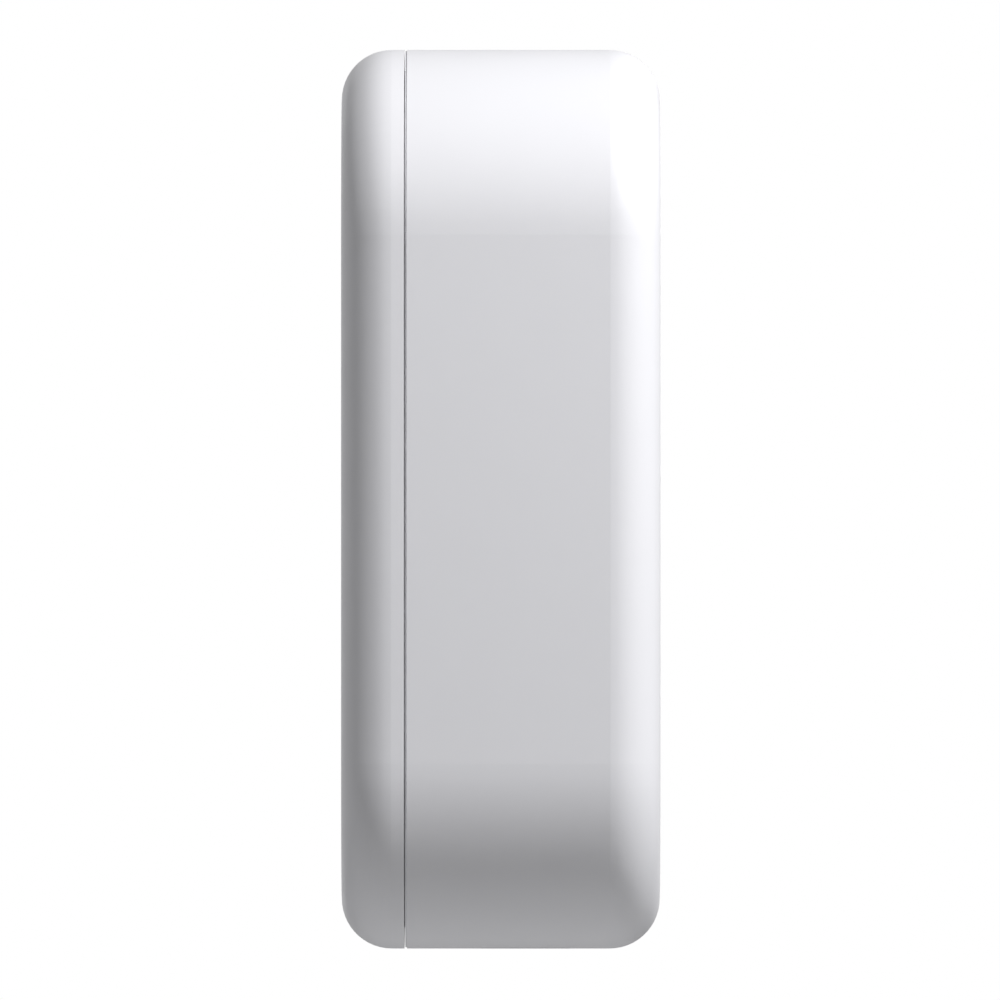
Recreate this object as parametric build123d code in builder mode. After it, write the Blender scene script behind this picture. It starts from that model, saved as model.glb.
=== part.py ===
from build123d import *
import math
import os

os.makedirs("parts", exist_ok=True)

# A battery video doorbell. A capsule-shaped unit is held by magnets on a plate that is
# screwed to the wall, and it pulls straight off the plate for charging.
#
# Frame: the origin is on the wall, at the middle of the plate's back. +Z is up and the
# front faces -Y. A "depth" is a distance from the wall, so a depth of d is at y = -d.

# ---------------------------------------------------------------- driving dimensions
HEIGHT = 106.0
WIDTH = 44.0
DEPTH = 37.5
EDGE_RADIUS = 5.9
PLATE_DEPTH = 7.4
SEAM_GAP = 0.1
WALL = 2.2

# Depths of the layers inside, from the wall to the front
COVER_BACK = 10.0
COVER_FRONT = 12.0
LEDGE_BACK = 13.0
LEDGE_FRONT = 14.4
CHARGER_BACK = 18.4
CHARGER_FRONT = 19.4
CAMERA_BACK = 20.4
CAMERA_FRONT = 21.4
CELL_DEPTH = 21.9
BOARD_BACK = 31.4
BOARD_FRONT = 32.4
HOUSING_INNER = DEPTH - WALL
POCKET_FLOOR = DEPTH - 1.4

# Heights of the things on the centre line
ARC_Z = (HEIGHT - WIDTH) / 2
LENS_Z = ARC_Z
BUTTON_Z = -ARC_Z
PIR_Z = 2.0
MIC_Z = -13.6
USB_Z = 35.0

# Screws of the rear cover: one at each side and one at each end of the two round ends
SCREW_INSET = 6.0
SCREW_REACH = WIDTH / 2 - SCREW_INSET
END_REACH = SCREW_REACH * math.cos(math.radians(45))
cover_screw_places = [
    (SCREW_REACH, 0, 0),
    (END_REACH, ARC_Z + END_REACH, 45),
    (-END_REACH, ARC_Z + END_REACH, 135),
    (-SCREW_REACH, 0, 180),
    (-END_REACH, -ARC_Z - END_REACH, 225),
    (END_REACH, -ARC_Z - END_REACH, 315),
]


def at_depth(depth):
    """Plane at this depth, facing the front, with x to the right and y up."""
    return Plane.XZ.offset(depth)


def facing_wall(depth):
    """Plane at this depth, facing the wall, with x to the left and y up."""
    return Plane(origin=(0, -depth, 0), x_dir=(-1, 0, 0), z_dir=(0, 1, 0))


def across_at(height):
    """Level plane at this height, with x across and y towards the wall."""
    return Plane.XY.offset(height)


def front_axis(height):
    """Axis from front to back at this height on the centre line."""
    return Axis((0, 0, height), (0, 1, 0))


def capsule(inset, mode=Mode.ADD):
    """The doorbell's outline, drawn in by the inset."""
    return SlotOverall(HEIGHT - 2 * inset, WIDTH - 2 * inset, rotation=90, mode=mode)


# ---------------------------------------------------------------- wall plate
PLATE_FLOOR = 2.4
SPIGOT_INSET = 2.5
SPIGOT_HEIGHT = 2.0
TRAY_INSET = 3.9
WALL_SCREW_SPACING = 44.0
WALL_SCREW_RADIUS = 2.2
WALL_SCREW_HEAD_RADIUS = 3.9
MAGNET_RADIUS = 4.0
MAGNET_THICKNESS = 3.0
MAGNET_BOSS_RADIUS = 5.2
MAGNET_FACE = COVER_BACK - 0.1
MAGNET_X = 8.5
MAGNET_HEIGHTS = (8.0, -34.0)
TAMPER_PLACE = (9.0, 28.0)
TAMPER_MAGNET_RADIUS = 2.0
TAMPER_MAGNET_THICKNESS = 2.0
TAMPER_BOSS_RADIUS = 3.0
GLUE_GAP = 0.05
magnet_places = [(x, z) for z in MAGNET_HEIGHTS for x in (-MAGNET_X, MAGNET_X)]

with BuildPart(at_depth(PLATE_FLOOR)) as wall_plate:
    with BuildSketch(at_depth(0)):
        capsule(0)
    extrude(amount=PLATE_DEPTH)
    fillet(wall_plate.edges().group_by(Axis.Y)[-1], EDGE_RADIUS)
    # Spigot that centres the unit's rim
    with BuildSketch(at_depth(PLATE_DEPTH)):
        capsule(SPIGOT_INSET)
    extrude(amount=SPIGOT_HEIGHT)
    # Tray
    with BuildSketch(at_depth(PLATE_FLOOR)):
        capsule(TRAY_INSET)
    extrude(amount=PLATE_DEPTH + SPIGOT_HEIGHT - PLATE_FLOOR, mode=Mode.SUBTRACT)
    # Bosses that hold the magnets close behind the unit
    with BuildSketch(at_depth(PLATE_FLOOR)):
        with Locations(*magnet_places):
            Circle(MAGNET_BOSS_RADIUS)
        with Locations(TAMPER_PLACE):
            Circle(TAMPER_BOSS_RADIUS)
    extrude(amount=MAGNET_FACE - PLATE_FLOOR)
    with BuildSketch(at_depth(MAGNET_FACE)):
        with Locations(*magnet_places):
            Circle(MAGNET_RADIUS + GLUE_GAP)
    extrude(amount=-MAGNET_THICKNESS, mode=Mode.SUBTRACT)
    with BuildSketch(at_depth(MAGNET_FACE)):
        with Locations(TAMPER_PLACE):
            Circle(TAMPER_MAGNET_RADIUS + GLUE_GAP)
    extrude(amount=-TAMPER_MAGNET_THICKNESS, mode=Mode.SUBTRACT)
    with GridLocations(0, WALL_SCREW_SPACING, 1, 2):
        CounterSinkHole(WALL_SCREW_RADIUS, WALL_SCREW_HEAD_RADIUS, counter_sink_angle=90)
wall_plate.part.label = "wall_plate"
export_step(wall_plate.part, "parts/wall_plate.step")

with BuildPart() as plate_magnets:
    with BuildSketch(at_depth(MAGNET_FACE)):
        with Locations(*magnet_places):
            Circle(MAGNET_RADIUS)
    extrude(amount=-MAGNET_THICKNESS)
    with BuildSketch(at_depth(MAGNET_FACE)):
        with Locations(TAMPER_PLACE):
            Circle(TAMPER_MAGNET_RADIUS)
    extrude(amount=-TAMPER_MAGNET_THICKNESS)
plate_magnets.part.label = "plate_magnets"
export_step(plate_magnets.part, "parts/plate_magnets.step")

# ---------------------------------------------------------------- front housing
RIM_STEP_WIDTH = 0.2
RIM_STEP_DEPTH = 0.15
OPENING_CHAMFER = 0.2
LEDGE_INSET = 3.9
COVER_BOSS_RADIUS = 2.0
COVER_BOSS_END = 20.6
COVER_BOSS_WEB = 2.4
COVER_PILOT_RADIUS = 0.9
COVER_PILOT_DEPTH = 8.0
BOARD_SCREW_X = 15.2
BOARD_SCREW_HEIGHTS = (16.0, -14.0)
BOARD_BOSS_RADIUS = 1.8
BOARD_PILOT_RADIUS = 0.8
BOARD_PILOT_DEPTH = 3.0
WINDOW_RADIUS = 13.0
WINDOW_LEDGE = 1.4
WINDOW_LOW_Z = 3.0
BUTTON_HOLE_RADIUS = 13.75
MIC_HOLE_RADIUS = 0.6
SPEAKER_WIDTH = 17.0
SPEAKER_BACK = 14.6
SPEAKER_FRONT = 28.6
SPEAKER_TOP = -43.8
SPEAKER_BOTTOM = -47.8
SPEAKER_RIB = 1.0
SLOT_WIDTH = 0.8
SLOT_LENGTH = 10.8
SLOT_PITCH = 1.6
SLOT_COUNT = 3
board_screw_places = [(x, z) for z in BOARD_SCREW_HEIGHTS for x in (-BOARD_SCREW_X, BOARD_SCREW_X)]
window_z = (LENS_Z + WINDOW_LOW_Z) / 2
window_run = LENS_Z - WINDOW_LOW_Z
speaker_middle = (SPEAKER_BACK + SPEAKER_FRONT) / 2
speaker_wall_rib_x = SPEAKER_WIDTH / 2 + 0.1 + SPEAKER_RIB / 2

with BuildPart() as front_housing:
    with BuildSketch(at_depth(PLATE_DEPTH + SEAM_GAP)):
        capsule(0)
    extrude(amount=DEPTH - PLATE_DEPTH - SEAM_GAP)
    fillet(front_housing.edges().group_by(Axis.Y)[0], EDGE_RADIUS)
    # Shallow step round the rim, which turns the gap to the plate into a soft line
    with BuildSketch(at_depth(PLATE_DEPTH + SEAM_GAP)):
        capsule(0)
        capsule(RIM_STEP_DEPTH, Mode.SUBTRACT)
    extrude(amount=RIM_STEP_WIDTH, mode=Mode.SUBTRACT)
    # Cavity, with its front edge rounded in step with the outside
    with BuildSketch(at_depth(PLATE_DEPTH + SEAM_GAP)):
        capsule(WALL)
    extrude(amount=HOUSING_INNER - PLATE_DEPTH - SEAM_GAP, mode=Mode.SUBTRACT)
    cavity_edges = front_housing.edges().filter_by_position(
        Axis.Y, -HOUSING_INNER - 0.01, -HOUSING_INNER + 0.01
    )
    fillet(cavity_edges, EDGE_RADIUS - WALL)
    # Ledge that the rear cover squeezes its gasket against
    with BuildSketch(at_depth(LEDGE_BACK)):
        capsule(WALL / 2)
        capsule(LEDGE_INSET, mode=Mode.SUBTRACT)
    extrude(amount=LEDGE_FRONT - LEDGE_BACK)
    # Screw bosses of the rear cover, each with a web to the wall
    with BuildSketch(at_depth(COVER_FRONT)):
        with Locations(*[(x, z) for x, z, angle in cover_screw_places]):
            Circle(COVER_BOSS_RADIUS)
    extrude(amount=COVER_BOSS_END - COVER_FRONT)
    with BuildSketch(at_depth(LEDGE_BACK)):
        for x, z, angle in cover_screw_places:
            with Locations(Location((x, z, 0), (0, 0, angle))):
                Rectangle(SCREW_INSET - WALL / 2, COVER_BOSS_WEB, align=(Align.MIN, Align.CENTER))
    extrude(amount=COVER_BOSS_END - LEDGE_BACK)
    with BuildSketch(at_depth(COVER_FRONT)):
        with Locations(*[(x, z) for x, z, angle in cover_screw_places]):
            Circle(COVER_PILOT_RADIUS)
    extrude(amount=COVER_PILOT_DEPTH, mode=Mode.SUBTRACT)
    # Screw bosses of the main board, on the inside of the front
    with BuildSketch(at_depth(BOARD_FRONT)):
        with Locations(*board_screw_places):
            Circle(BOARD_BOSS_RADIUS)
    extrude(amount=HOUSING_INNER + WALL / 4 - BOARD_FRONT)
    with BuildSketch(at_depth(BOARD_FRONT)):
        with Locations(*board_screw_places):
            Circle(BOARD_PILOT_RADIUS)
    extrude(amount=BOARD_PILOT_DEPTH, mode=Mode.SUBTRACT)
    # Ribs beside the speaker
    with BuildSketch(at_depth(SPEAKER_BACK)):
        with GridLocations(2 * speaker_wall_rib_x, 0, 2, 1):
            with Locations((0, SPEAKER_BOTTOM + SPEAKER_RIB)):
                Rectangle(SPEAKER_RIB, SPEAKER_TOP - SPEAKER_BOTTOM + SPEAKER_RIB)
    extrude(amount=SPEAKER_FRONT - SPEAKER_BACK)
    # Pocket and opening of the window
    with BuildSketch(at_depth(DEPTH)):
        with Locations((0, window_z)):
            SlotOverall(window_run + 2 * WINDOW_RADIUS, 2 * WINDOW_RADIUS, rotation=90)
    extrude(amount=POCKET_FLOOR - DEPTH, mode=Mode.SUBTRACT)
    with BuildSketch(at_depth(POCKET_FLOOR)):
        with Locations((0, window_z)):
            SlotOverall(
                window_run + 2 * (WINDOW_RADIUS - WINDOW_LEDGE),
                2 * (WINDOW_RADIUS - WINDOW_LEDGE),
                rotation=90,
            )
    extrude(amount=HOUSING_INNER - POCKET_FLOOR, mode=Mode.SUBTRACT)
    # Holes of the button and of the microphone
    with BuildSketch(at_depth(DEPTH)):
        with Locations((0, BUTTON_Z)):
            Circle(BUTTON_HOLE_RADIUS)
        with Locations((0, MIC_Z)):
            Circle(MIC_HOLE_RADIUS)
    extrude(amount=-WALL, mode=Mode.SUBTRACT)
    # Their rims, and the window pocket's, with the edge taken off
    with BuildSketch(at_depth(DEPTH)):
        with Locations((0, window_z)):
            SlotOverall(
                window_run + 2 * (WINDOW_RADIUS + OPENING_CHAMFER),
                2 * (WINDOW_RADIUS + OPENING_CHAMFER),
                rotation=90,
            )
        with Locations((0, BUTTON_Z)):
            Circle(BUTTON_HOLE_RADIUS + OPENING_CHAMFER)
        with Locations((0, MIC_Z)):
            Circle(MIC_HOLE_RADIUS + OPENING_CHAMFER)
    extrude(amount=-OPENING_CHAMFER, taper=45, mode=Mode.SUBTRACT)
    # Speaker slots in the underside
    with BuildSketch(across_at(-HEIGHT / 2)):
        with Locations((0, -speaker_middle)):
            with GridLocations(SLOT_PITCH, 0, SLOT_COUNT, 1):
                SlotOverall(SLOT_LENGTH, SLOT_WIDTH, rotation=90)
    extrude(amount=2 * WALL, mode=Mode.SUBTRACT)
front_housing.part.label = "front_housing"
export_step(front_housing.part, "parts/front_housing.step")

# ---------------------------------------------------------------- rear cover and its gasket
COVER_INSET = 2.3
GASKET_INNER_INSET = 3.7
STRIKE_LENGTH = 26.0
STRIKE_WIDTH = 9.0
STRIKE_THICKNESS = 1.0
STRIKE_PLAY = 0.2
COVER_HOLE_RADIUS = 1.2
COVER_COUNTERBORE_RADIUS = 2.1
COVER_COUNTERBORE_DEPTH = 1.0
USB_RECESS_LENGTH = 16.0
USB_RECESS_WIDTH = 8.0
USB_RECESS_DEPTH = 1.2
USB_OPENING_LENGTH = 9.4
USB_OPENING_WIDTH = 3.6
PAIR_PLACE = (-9.0, 28.0)
PAIR_HOLE_RADIUS = 3.1
CHARGER_SCREW_X = 11.5
CHARGER_SCREW_Z = 36.5
CHARGER_BOSS_RADIUS = 1.9
CHARGER_PILOT_RADIUS = 0.8
CHARGER_PILOT_DEPTH = 5.0
SADDLE_HEIGHTS = (-34.0, -8.0, 16.0)
SADDLE_THICKNESS = 1.6
SADDLE_HALF_WIDTH = 12.0
SADDLE_TOP = 20.0
CELL_RADIUS = 9.2
PAD_THICKNESS = 0.7
saddle_radius = CELL_RADIUS + PAD_THICKNESS
strike_places = [(0, z) for z in MAGNET_HEIGHTS]
charger_screw_places = [(-CHARGER_SCREW_X, CHARGER_SCREW_Z), (CHARGER_SCREW_X, CHARGER_SCREW_Z)]

with BuildPart(facing_wall(COVER_BACK)) as rear_cover:
    with BuildSketch(at_depth(COVER_BACK)):
        capsule(COVER_INSET)
    extrude(amount=COVER_FRONT - COVER_BACK)
    with Locations(*[(x, z) for x, z, angle in cover_screw_places]):
        CounterBoreHole(COVER_HOLE_RADIUS, COVER_COUNTERBORE_RADIUS, COVER_COUNTERBORE_DEPTH)
    # Recesses of the two strike plates
    with BuildSketch(at_depth(COVER_BACK)):
        with Locations(*strike_places):
            Rectangle(STRIKE_LENGTH, STRIKE_WIDTH)
    extrude(amount=STRIKE_THICKNESS, mode=Mode.SUBTRACT)
    # Recess and opening of the charging port
    with BuildSketch(at_depth(COVER_BACK)):
        with Locations((0, USB_Z)):
            RectangleRounded(USB_RECESS_LENGTH, USB_RECESS_WIDTH, USB_RECESS_WIDTH / 4)
    extrude(amount=USB_RECESS_DEPTH, mode=Mode.SUBTRACT)
    with BuildSketch(at_depth(COVER_BACK)):
        with Locations((0, USB_Z)):
            RectangleRounded(USB_OPENING_LENGTH, USB_OPENING_WIDTH, USB_OPENING_WIDTH / 2.2)
        with Locations(PAIR_PLACE):
            Circle(PAIR_HOLE_RADIUS)
    extrude(amount=COVER_FRONT - COVER_BACK, mode=Mode.SUBTRACT)
    # Bosses of the charging board
    with BuildSketch(at_depth(COVER_FRONT)):
        with Locations(*charger_screw_places):
            Circle(CHARGER_BOSS_RADIUS)
    extrude(amount=CHARGER_BACK - COVER_FRONT)
    with BuildSketch(at_depth(CHARGER_BACK)):
        with Locations(*charger_screw_places):
            Circle(CHARGER_PILOT_RADIUS)
    extrude(amount=-CHARGER_PILOT_DEPTH, mode=Mode.SUBTRACT)
    # Saddles that carry the cell
    for height in SADDLE_HEIGHTS:
        with BuildSketch(across_at(height - SADDLE_THICKNESS / 2)):
            with Locations((0, -(COVER_FRONT + SADDLE_TOP) / 2)):
                Rectangle(2 * SADDLE_HALF_WIDTH, SADDLE_TOP - COVER_FRONT)
            with Locations((0, -CELL_DEPTH)):
                Circle(saddle_radius, mode=Mode.SUBTRACT)
        extrude(amount=SADDLE_THICKNESS)
rear_cover.part.label = "rear_cover"
export_step(rear_cover.part, "parts/rear_cover.step")

with BuildPart() as rear_gasket:
    with BuildSketch(at_depth(COVER_FRONT)):
        capsule(COVER_INSET)
        capsule(GASKET_INNER_INSET, mode=Mode.SUBTRACT)
    extrude(amount=LEDGE_BACK - COVER_FRONT)
rear_gasket.part.label = "rear_gasket"
export_step(rear_gasket.part, "parts/rear_gasket.step")

SCREW_HEAD_RADIUS = 1.9
SCREW_HEAD_HEIGHT = 0.8
SCREW_SOCKET_RADIUS = 0.9
SCREW_SOCKET_DEPTH = 0.5
cover_seat = COVER_BACK + COVER_COUNTERBORE_DEPTH

with BuildPart() as rear_screws:
    with BuildSketch(at_depth(cover_seat)):
        with Locations(*[(x, z) for x, z, angle in cover_screw_places]):
            Circle(SCREW_HEAD_RADIUS)
    extrude(amount=-SCREW_HEAD_HEIGHT)
    with BuildSketch(at_depth(cover_seat)):
        with Locations(*[(x, z) for x, z, angle in cover_screw_places]):
            Circle(COVER_PILOT_RADIUS)
    extrude(amount=COVER_FRONT + COVER_PILOT_DEPTH - cover_seat)
    with BuildSketch(at_depth(cover_seat - SCREW_HEAD_HEIGHT)):
        with Locations(*[(x, z) for x, z, angle in cover_screw_places]):
            RegularPolygon(SCREW_SOCKET_RADIUS, 6)
    extrude(amount=SCREW_SOCKET_DEPTH, mode=Mode.SUBTRACT)
rear_screws.part.label = "rear_screws"
export_step(rear_screws.part, "parts/rear_screws.step")

with BuildPart() as strike_plates:
    with BuildSketch(at_depth(COVER_BACK)):
        with Locations(*strike_places):
            Rectangle(STRIKE_LENGTH - STRIKE_PLAY, STRIKE_WIDTH - STRIKE_PLAY)
    extrude(amount=STRIKE_THICKNESS)
strike_plates.part.label = "strike_plates"
export_step(strike_plates.part, "parts/strike_plates.step")

# ---------------------------------------------------------------- main board
BOARD_HALF_WIDTH = 14.0
BOARD_HALF_HEIGHT = 45.0
LENS_HOLE_RADIUS = 8.0
CAMERA_SCREW_X = 10.2
CAMERA_SCREW_RADIUS = 0.7
camera_screw_places = [(-CAMERA_SCREW_X, LENS_Z), (CAMERA_SCREW_X, LENS_Z)]

with BuildPart() as main_board:
    with BuildSketch(at_depth(BOARD_BACK)):
        SlotOverall(2 * BOARD_HALF_HEIGHT, 2 * BOARD_HALF_WIDTH, rotation=90)
        with Locations((0, LENS_Z)):
            Circle(LENS_HOLE_RADIUS, mode=Mode.SUBTRACT)
        with Locations(*camera_screw_places):
            Circle(CAMERA_SCREW_RADIUS, mode=Mode.SUBTRACT)
    extrude(amount=BOARD_FRONT - BOARD_BACK)
main_board.part.label = "main_board"
export_step(main_board.part, "parts/main_board.step")

BOARD_SCREW_HEAD_RADIUS = 1.9
BOARD_SCREW_HEAD_HEIGHT = 1.0

with BuildPart() as board_screws:
    with BuildSketch(at_depth(BOARD_BACK)):
        with Locations(*board_screw_places):
            Circle(BOARD_SCREW_HEAD_RADIUS)
    extrude(amount=-BOARD_SCREW_HEAD_HEIGHT)
    with BuildSketch(at_depth(BOARD_BACK)):
        with Locations(*board_screw_places):
            Circle(BOARD_PILOT_RADIUS)
    extrude(amount=BOARD_FRONT + BOARD_PILOT_DEPTH - BOARD_BACK)
board_screws.part.label = "board_screws"
export_step(board_screws.part, "parts/board_screws.step")

IR_RADIUS = 10.6
IR_LED_SIZE = 2.6
IR_LED_HEIGHT = 1.0

with BuildPart() as ir_leds:
    with BuildSketch(at_depth(BOARD_FRONT)):
        with Locations((0, LENS_Z)):
            with PolarLocations(IR_RADIUS, 4, start_angle=45):
                Rectangle(IR_LED_SIZE, IR_LED_SIZE)
    extrude(amount=IR_LED_HEIGHT)
ir_leds.part.label = "ir_leds"
export_step(ir_leds.part, "parts/ir_leds.step")

RING_LED_RADIUS = 12.8
RING_LED_COUNT = 8
RING_LED_SIZE = 1.6
RING_LED_HEIGHT = 0.7

with BuildPart() as ring_leds:
    with BuildSketch(at_depth(BOARD_FRONT)):
        with Locations((0, BUTTON_Z)):
            with PolarLocations(RING_LED_RADIUS, RING_LED_COUNT):
                Rectangle(RING_LED_SIZE, RING_LED_SIZE)
    extrude(amount=RING_LED_HEIGHT)
ring_leds.part.label = "ring_leds"
export_step(ring_leds.part, "parts/ring_leds.step")

PIR_CAN_RADIUS = 4.1
PIR_BASE_RADIUS = 4.6
PIR_BASE_HEIGHT = 0.4
PIR_CAN_HEIGHT = 2.6

with BuildPart() as pir_sensor:
    with BuildSketch(at_depth(BOARD_FRONT)):
        with Locations((0, PIR_Z)):
            Circle(PIR_BASE_RADIUS)
    extrude(amount=PIR_BASE_HEIGHT)
    with BuildSketch(at_depth(BOARD_FRONT)):
        with Locations((0, PIR_Z)):
            Circle(PIR_CAN_RADIUS)
    extrude(amount=PIR_CAN_HEIGHT)
pir_sensor.part.label = "pir_sensor"
export_step(pir_sensor.part, "parts/pir_sensor.step")

LIGHT_SENSOR_PLACE = (9.5, PIR_Z)
LIGHT_SENSOR_SIZE = 2.0
LIGHT_SENSOR_HEIGHT = 0.7

with BuildPart() as light_sensor:
    with BuildSketch(at_depth(BOARD_FRONT)):
        with Locations(LIGHT_SENSOR_PLACE):
            Rectangle(LIGHT_SENSOR_SIZE, LIGHT_SENSOR_SIZE)
    extrude(amount=LIGHT_SENSOR_HEIGHT)
light_sensor.part.label = "light_sensor"
export_step(light_sensor.part, "parts/light_sensor.step")

PROCESSOR_SIZE = (16.0, 12.0)
PROCESSOR_Z = 14.0
PROCESSOR_HEIGHT = 1.8

with BuildPart() as processor_shield:
    with BuildSketch(at_depth(BOARD_FRONT)):
        with Locations((0, PROCESSOR_Z)):
            Rectangle(*PROCESSOR_SIZE)
    extrude(amount=PROCESSOR_HEIGHT)
    fillet(processor_shield.edges().filter_by(Axis.Y), PROCESSOR_HEIGHT / 2)
processor_shield.part.label = "processor_shield"
export_step(processor_shield.part, "parts/processor_shield.step")

WIFI_SIZE = (14.0, 6.6)
WIFI_Z = -7.4
WIFI_HEIGHT = 1.6

with BuildPart() as wifi_module:
    with BuildSketch(at_depth(BOARD_FRONT)):
        with Locations((0, WIFI_Z)):
            Rectangle(*WIFI_SIZE)
    extrude(amount=WIFI_HEIGHT)
wifi_module.part.label = "wifi_module"
export_step(wifi_module.part, "parts/wifi_module.step")

ANTENNA_THICKNESS = 0.3
ANTENNA_BACK = 21.0
ANTENNA_WIDTH = 7.0
ANTENNA_Z = 19.0
ANTENNA_LENGTH = 22.0
antenna_x = -(WIDTH / 2 - WALL - ANTENNA_THICKNESS / 2)

with BuildPart() as antenna:
    with BuildSketch(at_depth(ANTENNA_BACK)):
        with Locations((antenna_x, ANTENNA_Z)):
            Rectangle(ANTENNA_THICKNESS, ANTENNA_LENGTH)
    extrude(amount=ANTENNA_WIDTH)
antenna.part.label = "antenna"
export_step(antenna.part, "parts/antenna.step")

# ---------------------------------------------------------------- microphone
MIC_SIZE = (3.5, 2.6)
MIC_HEIGHT = 1.0
MIC_GASKET_RADIUS = 2.0
MIC_MESH_THICKNESS = 0.15

with BuildPart() as microphone:
    with BuildSketch(at_depth(BOARD_FRONT)):
        with Locations((0, MIC_Z)):
            Rectangle(*MIC_SIZE)
    extrude(amount=MIC_HEIGHT)
microphone.part.label = "microphone"
export_step(microphone.part, "parts/microphone.step")

with BuildPart() as mic_gasket:
    with BuildSketch(at_depth(BOARD_FRONT + MIC_HEIGHT)):
        with Locations((0, MIC_Z)):
            Circle(MIC_GASKET_RADIUS)
            Circle(MIC_HOLE_RADIUS, mode=Mode.SUBTRACT)
    extrude(amount=HOUSING_INNER - MIC_MESH_THICKNESS - BOARD_FRONT - MIC_HEIGHT)
mic_gasket.part.label = "mic_gasket"
export_step(mic_gasket.part, "parts/mic_gasket.step")

with BuildPart() as mic_mesh:
    with BuildSketch(at_depth(HOUSING_INNER)):
        with Locations((0, MIC_Z)):
            Circle(MIC_GASKET_RADIUS)
    extrude(amount=-MIC_MESH_THICKNESS)
mic_mesh.part.label = "mic_mesh"
export_step(mic_mesh.part, "parts/mic_mesh.step")

# ---------------------------------------------------------------- button and light ring
BUTTON_RADIUS = 11.6
BUTTON_FRONT = DEPTH - 0.2
BUTTON_DISH = 0.5
BUTTON_EDGE = 0.5
BUTTON_BACK = 34.4
BUTTON_FLANGE_RADIUS = 12.4
BUTTON_FLANGE_FRONT = 35.2
BUTTON_HOLLOW_RADIUS = 10.0
BUTTON_CEILING = 35.9
BUTTON_POST_RADIUS = 2.0
BUTTON_POST_BACK = 34.6

with BuildPart() as button_cap:
    with BuildSketch(across_at(BUTTON_Z)):
        with BuildLine():
            Polyline(
                (BUTTON_RADIUS, -BUTTON_FRONT),
                (BUTTON_RADIUS, -BUTTON_FLANGE_FRONT),
                (BUTTON_FLANGE_RADIUS, -BUTTON_FLANGE_FRONT),
                (BUTTON_FLANGE_RADIUS, -BUTTON_BACK),
                (BUTTON_HOLLOW_RADIUS, -BUTTON_BACK),
                (BUTTON_HOLLOW_RADIUS, -BUTTON_CEILING),
                (BUTTON_POST_RADIUS, -BUTTON_CEILING),
                (BUTTON_POST_RADIUS, -BUTTON_POST_BACK),
                (0, -BUTTON_POST_BACK),
                (0, -BUTTON_FRONT + BUTTON_DISH),
            )
            TangentArc(
                (0, -BUTTON_FRONT + BUTTON_DISH), (BUTTON_RADIUS, -BUTTON_FRONT), tangent=(1, 0)
            )
        make_face()
    revolve(axis=front_axis(BUTTON_Z))
    fillet(button_cap.edges().group_by(Axis.Y)[0], BUTTON_EDGE)
button_cap.part.label = "button_cap"
export_step(button_cap.part, "parts/button_cap.step")

RING_INNER_RADIUS = 11.9
RING_OUTER_RADIUS = 13.6
RING_FLANGE_RADIUS = 14.2
RING_BORE_RADIUS = 12.8
RING_STEP = 35.4
RING_BACK = 33.6
RING_FRONT = DEPTH - 0.2
RING_EDGE = 0.4

with BuildPart() as light_ring:
    with BuildSketch(across_at(BUTTON_Z)):
        with BuildLine():
            Polyline(
                (RING_BORE_RADIUS, -RING_BACK),
                (RING_FLANGE_RADIUS, -RING_BACK),
                (RING_FLANGE_RADIUS, -HOUSING_INNER),
                (RING_OUTER_RADIUS, -HOUSING_INNER),
                (RING_OUTER_RADIUS, -RING_FRONT),
                (RING_INNER_RADIUS, -RING_FRONT),
                (RING_INNER_RADIUS, -RING_STEP),
                (RING_BORE_RADIUS, -RING_STEP),
                close=True,
            )
        make_face()
    revolve(axis=front_axis(BUTTON_Z))
    fillet(light_ring.edges().group_by(Axis.Y)[0], RING_EDGE)
light_ring.part.label = "light_ring"
export_step(light_ring.part, "parts/light_ring.step")

SWITCH_SIZE = 6.0
SWITCH_FRONT = 34.0
SWITCH_FLOOR = 32.6
SWITCH_BORE_RADIUS = 1.9
PLUNGER_RADIUS = 1.6
PLUNGER_BACK = 33.2

with BuildPart() as button_switch:
    with BuildSketch(at_depth(BOARD_FRONT)):
        with Locations((0, BUTTON_Z)):
            Rectangle(SWITCH_SIZE, SWITCH_SIZE)
    extrude(amount=SWITCH_FRONT - BOARD_FRONT)
    with BuildSketch(at_depth(SWITCH_FLOOR)):
        with Locations((0, BUTTON_Z)):
            Circle(SWITCH_BORE_RADIUS)
    extrude(amount=SWITCH_FRONT - SWITCH_FLOOR, mode=Mode.SUBTRACT)
button_switch.part.label = "button_switch"
export_step(button_switch.part, "parts/button_switch.step")

with BuildPart() as switch_plunger:
    with BuildSketch(at_depth(PLUNGER_BACK)):
        with Locations((0, BUTTON_Z)):
            Circle(PLUNGER_RADIUS)
    extrude(amount=BUTTON_POST_BACK - PLUNGER_BACK)
switch_plunger.part.label = "switch_plunger"
export_step(switch_plunger.part, "parts/switch_plunger.step")

SPRING_COIL_RADIUS = 5.4
SPRING_WIRE_RADIUS = 0.2
SPRING_TURNS = 2.5
spring_height = BUTTON_CEILING - BOARD_FRONT - 2 * SPRING_WIRE_RADIUS

with BuildPart() as button_spring:
    with BuildLine() as coil:
        Helix(
            pitch=spring_height / SPRING_TURNS,
            height=spring_height,
            radius=SPRING_COIL_RADIUS,
            center=(0, -BOARD_FRONT - SPRING_WIRE_RADIUS, BUTTON_Z),
            direction=(0, -1, 0),
        )
    with BuildSketch(Plane(origin=coil.line @ 0, z_dir=coil.line % 0)):
        Circle(SPRING_WIRE_RADIUS)
    sweep(path=coil.line, is_frenet=True)
button_spring.part.label = "button_spring"
export_step(button_spring.part, "parts/button_spring.step")

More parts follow.
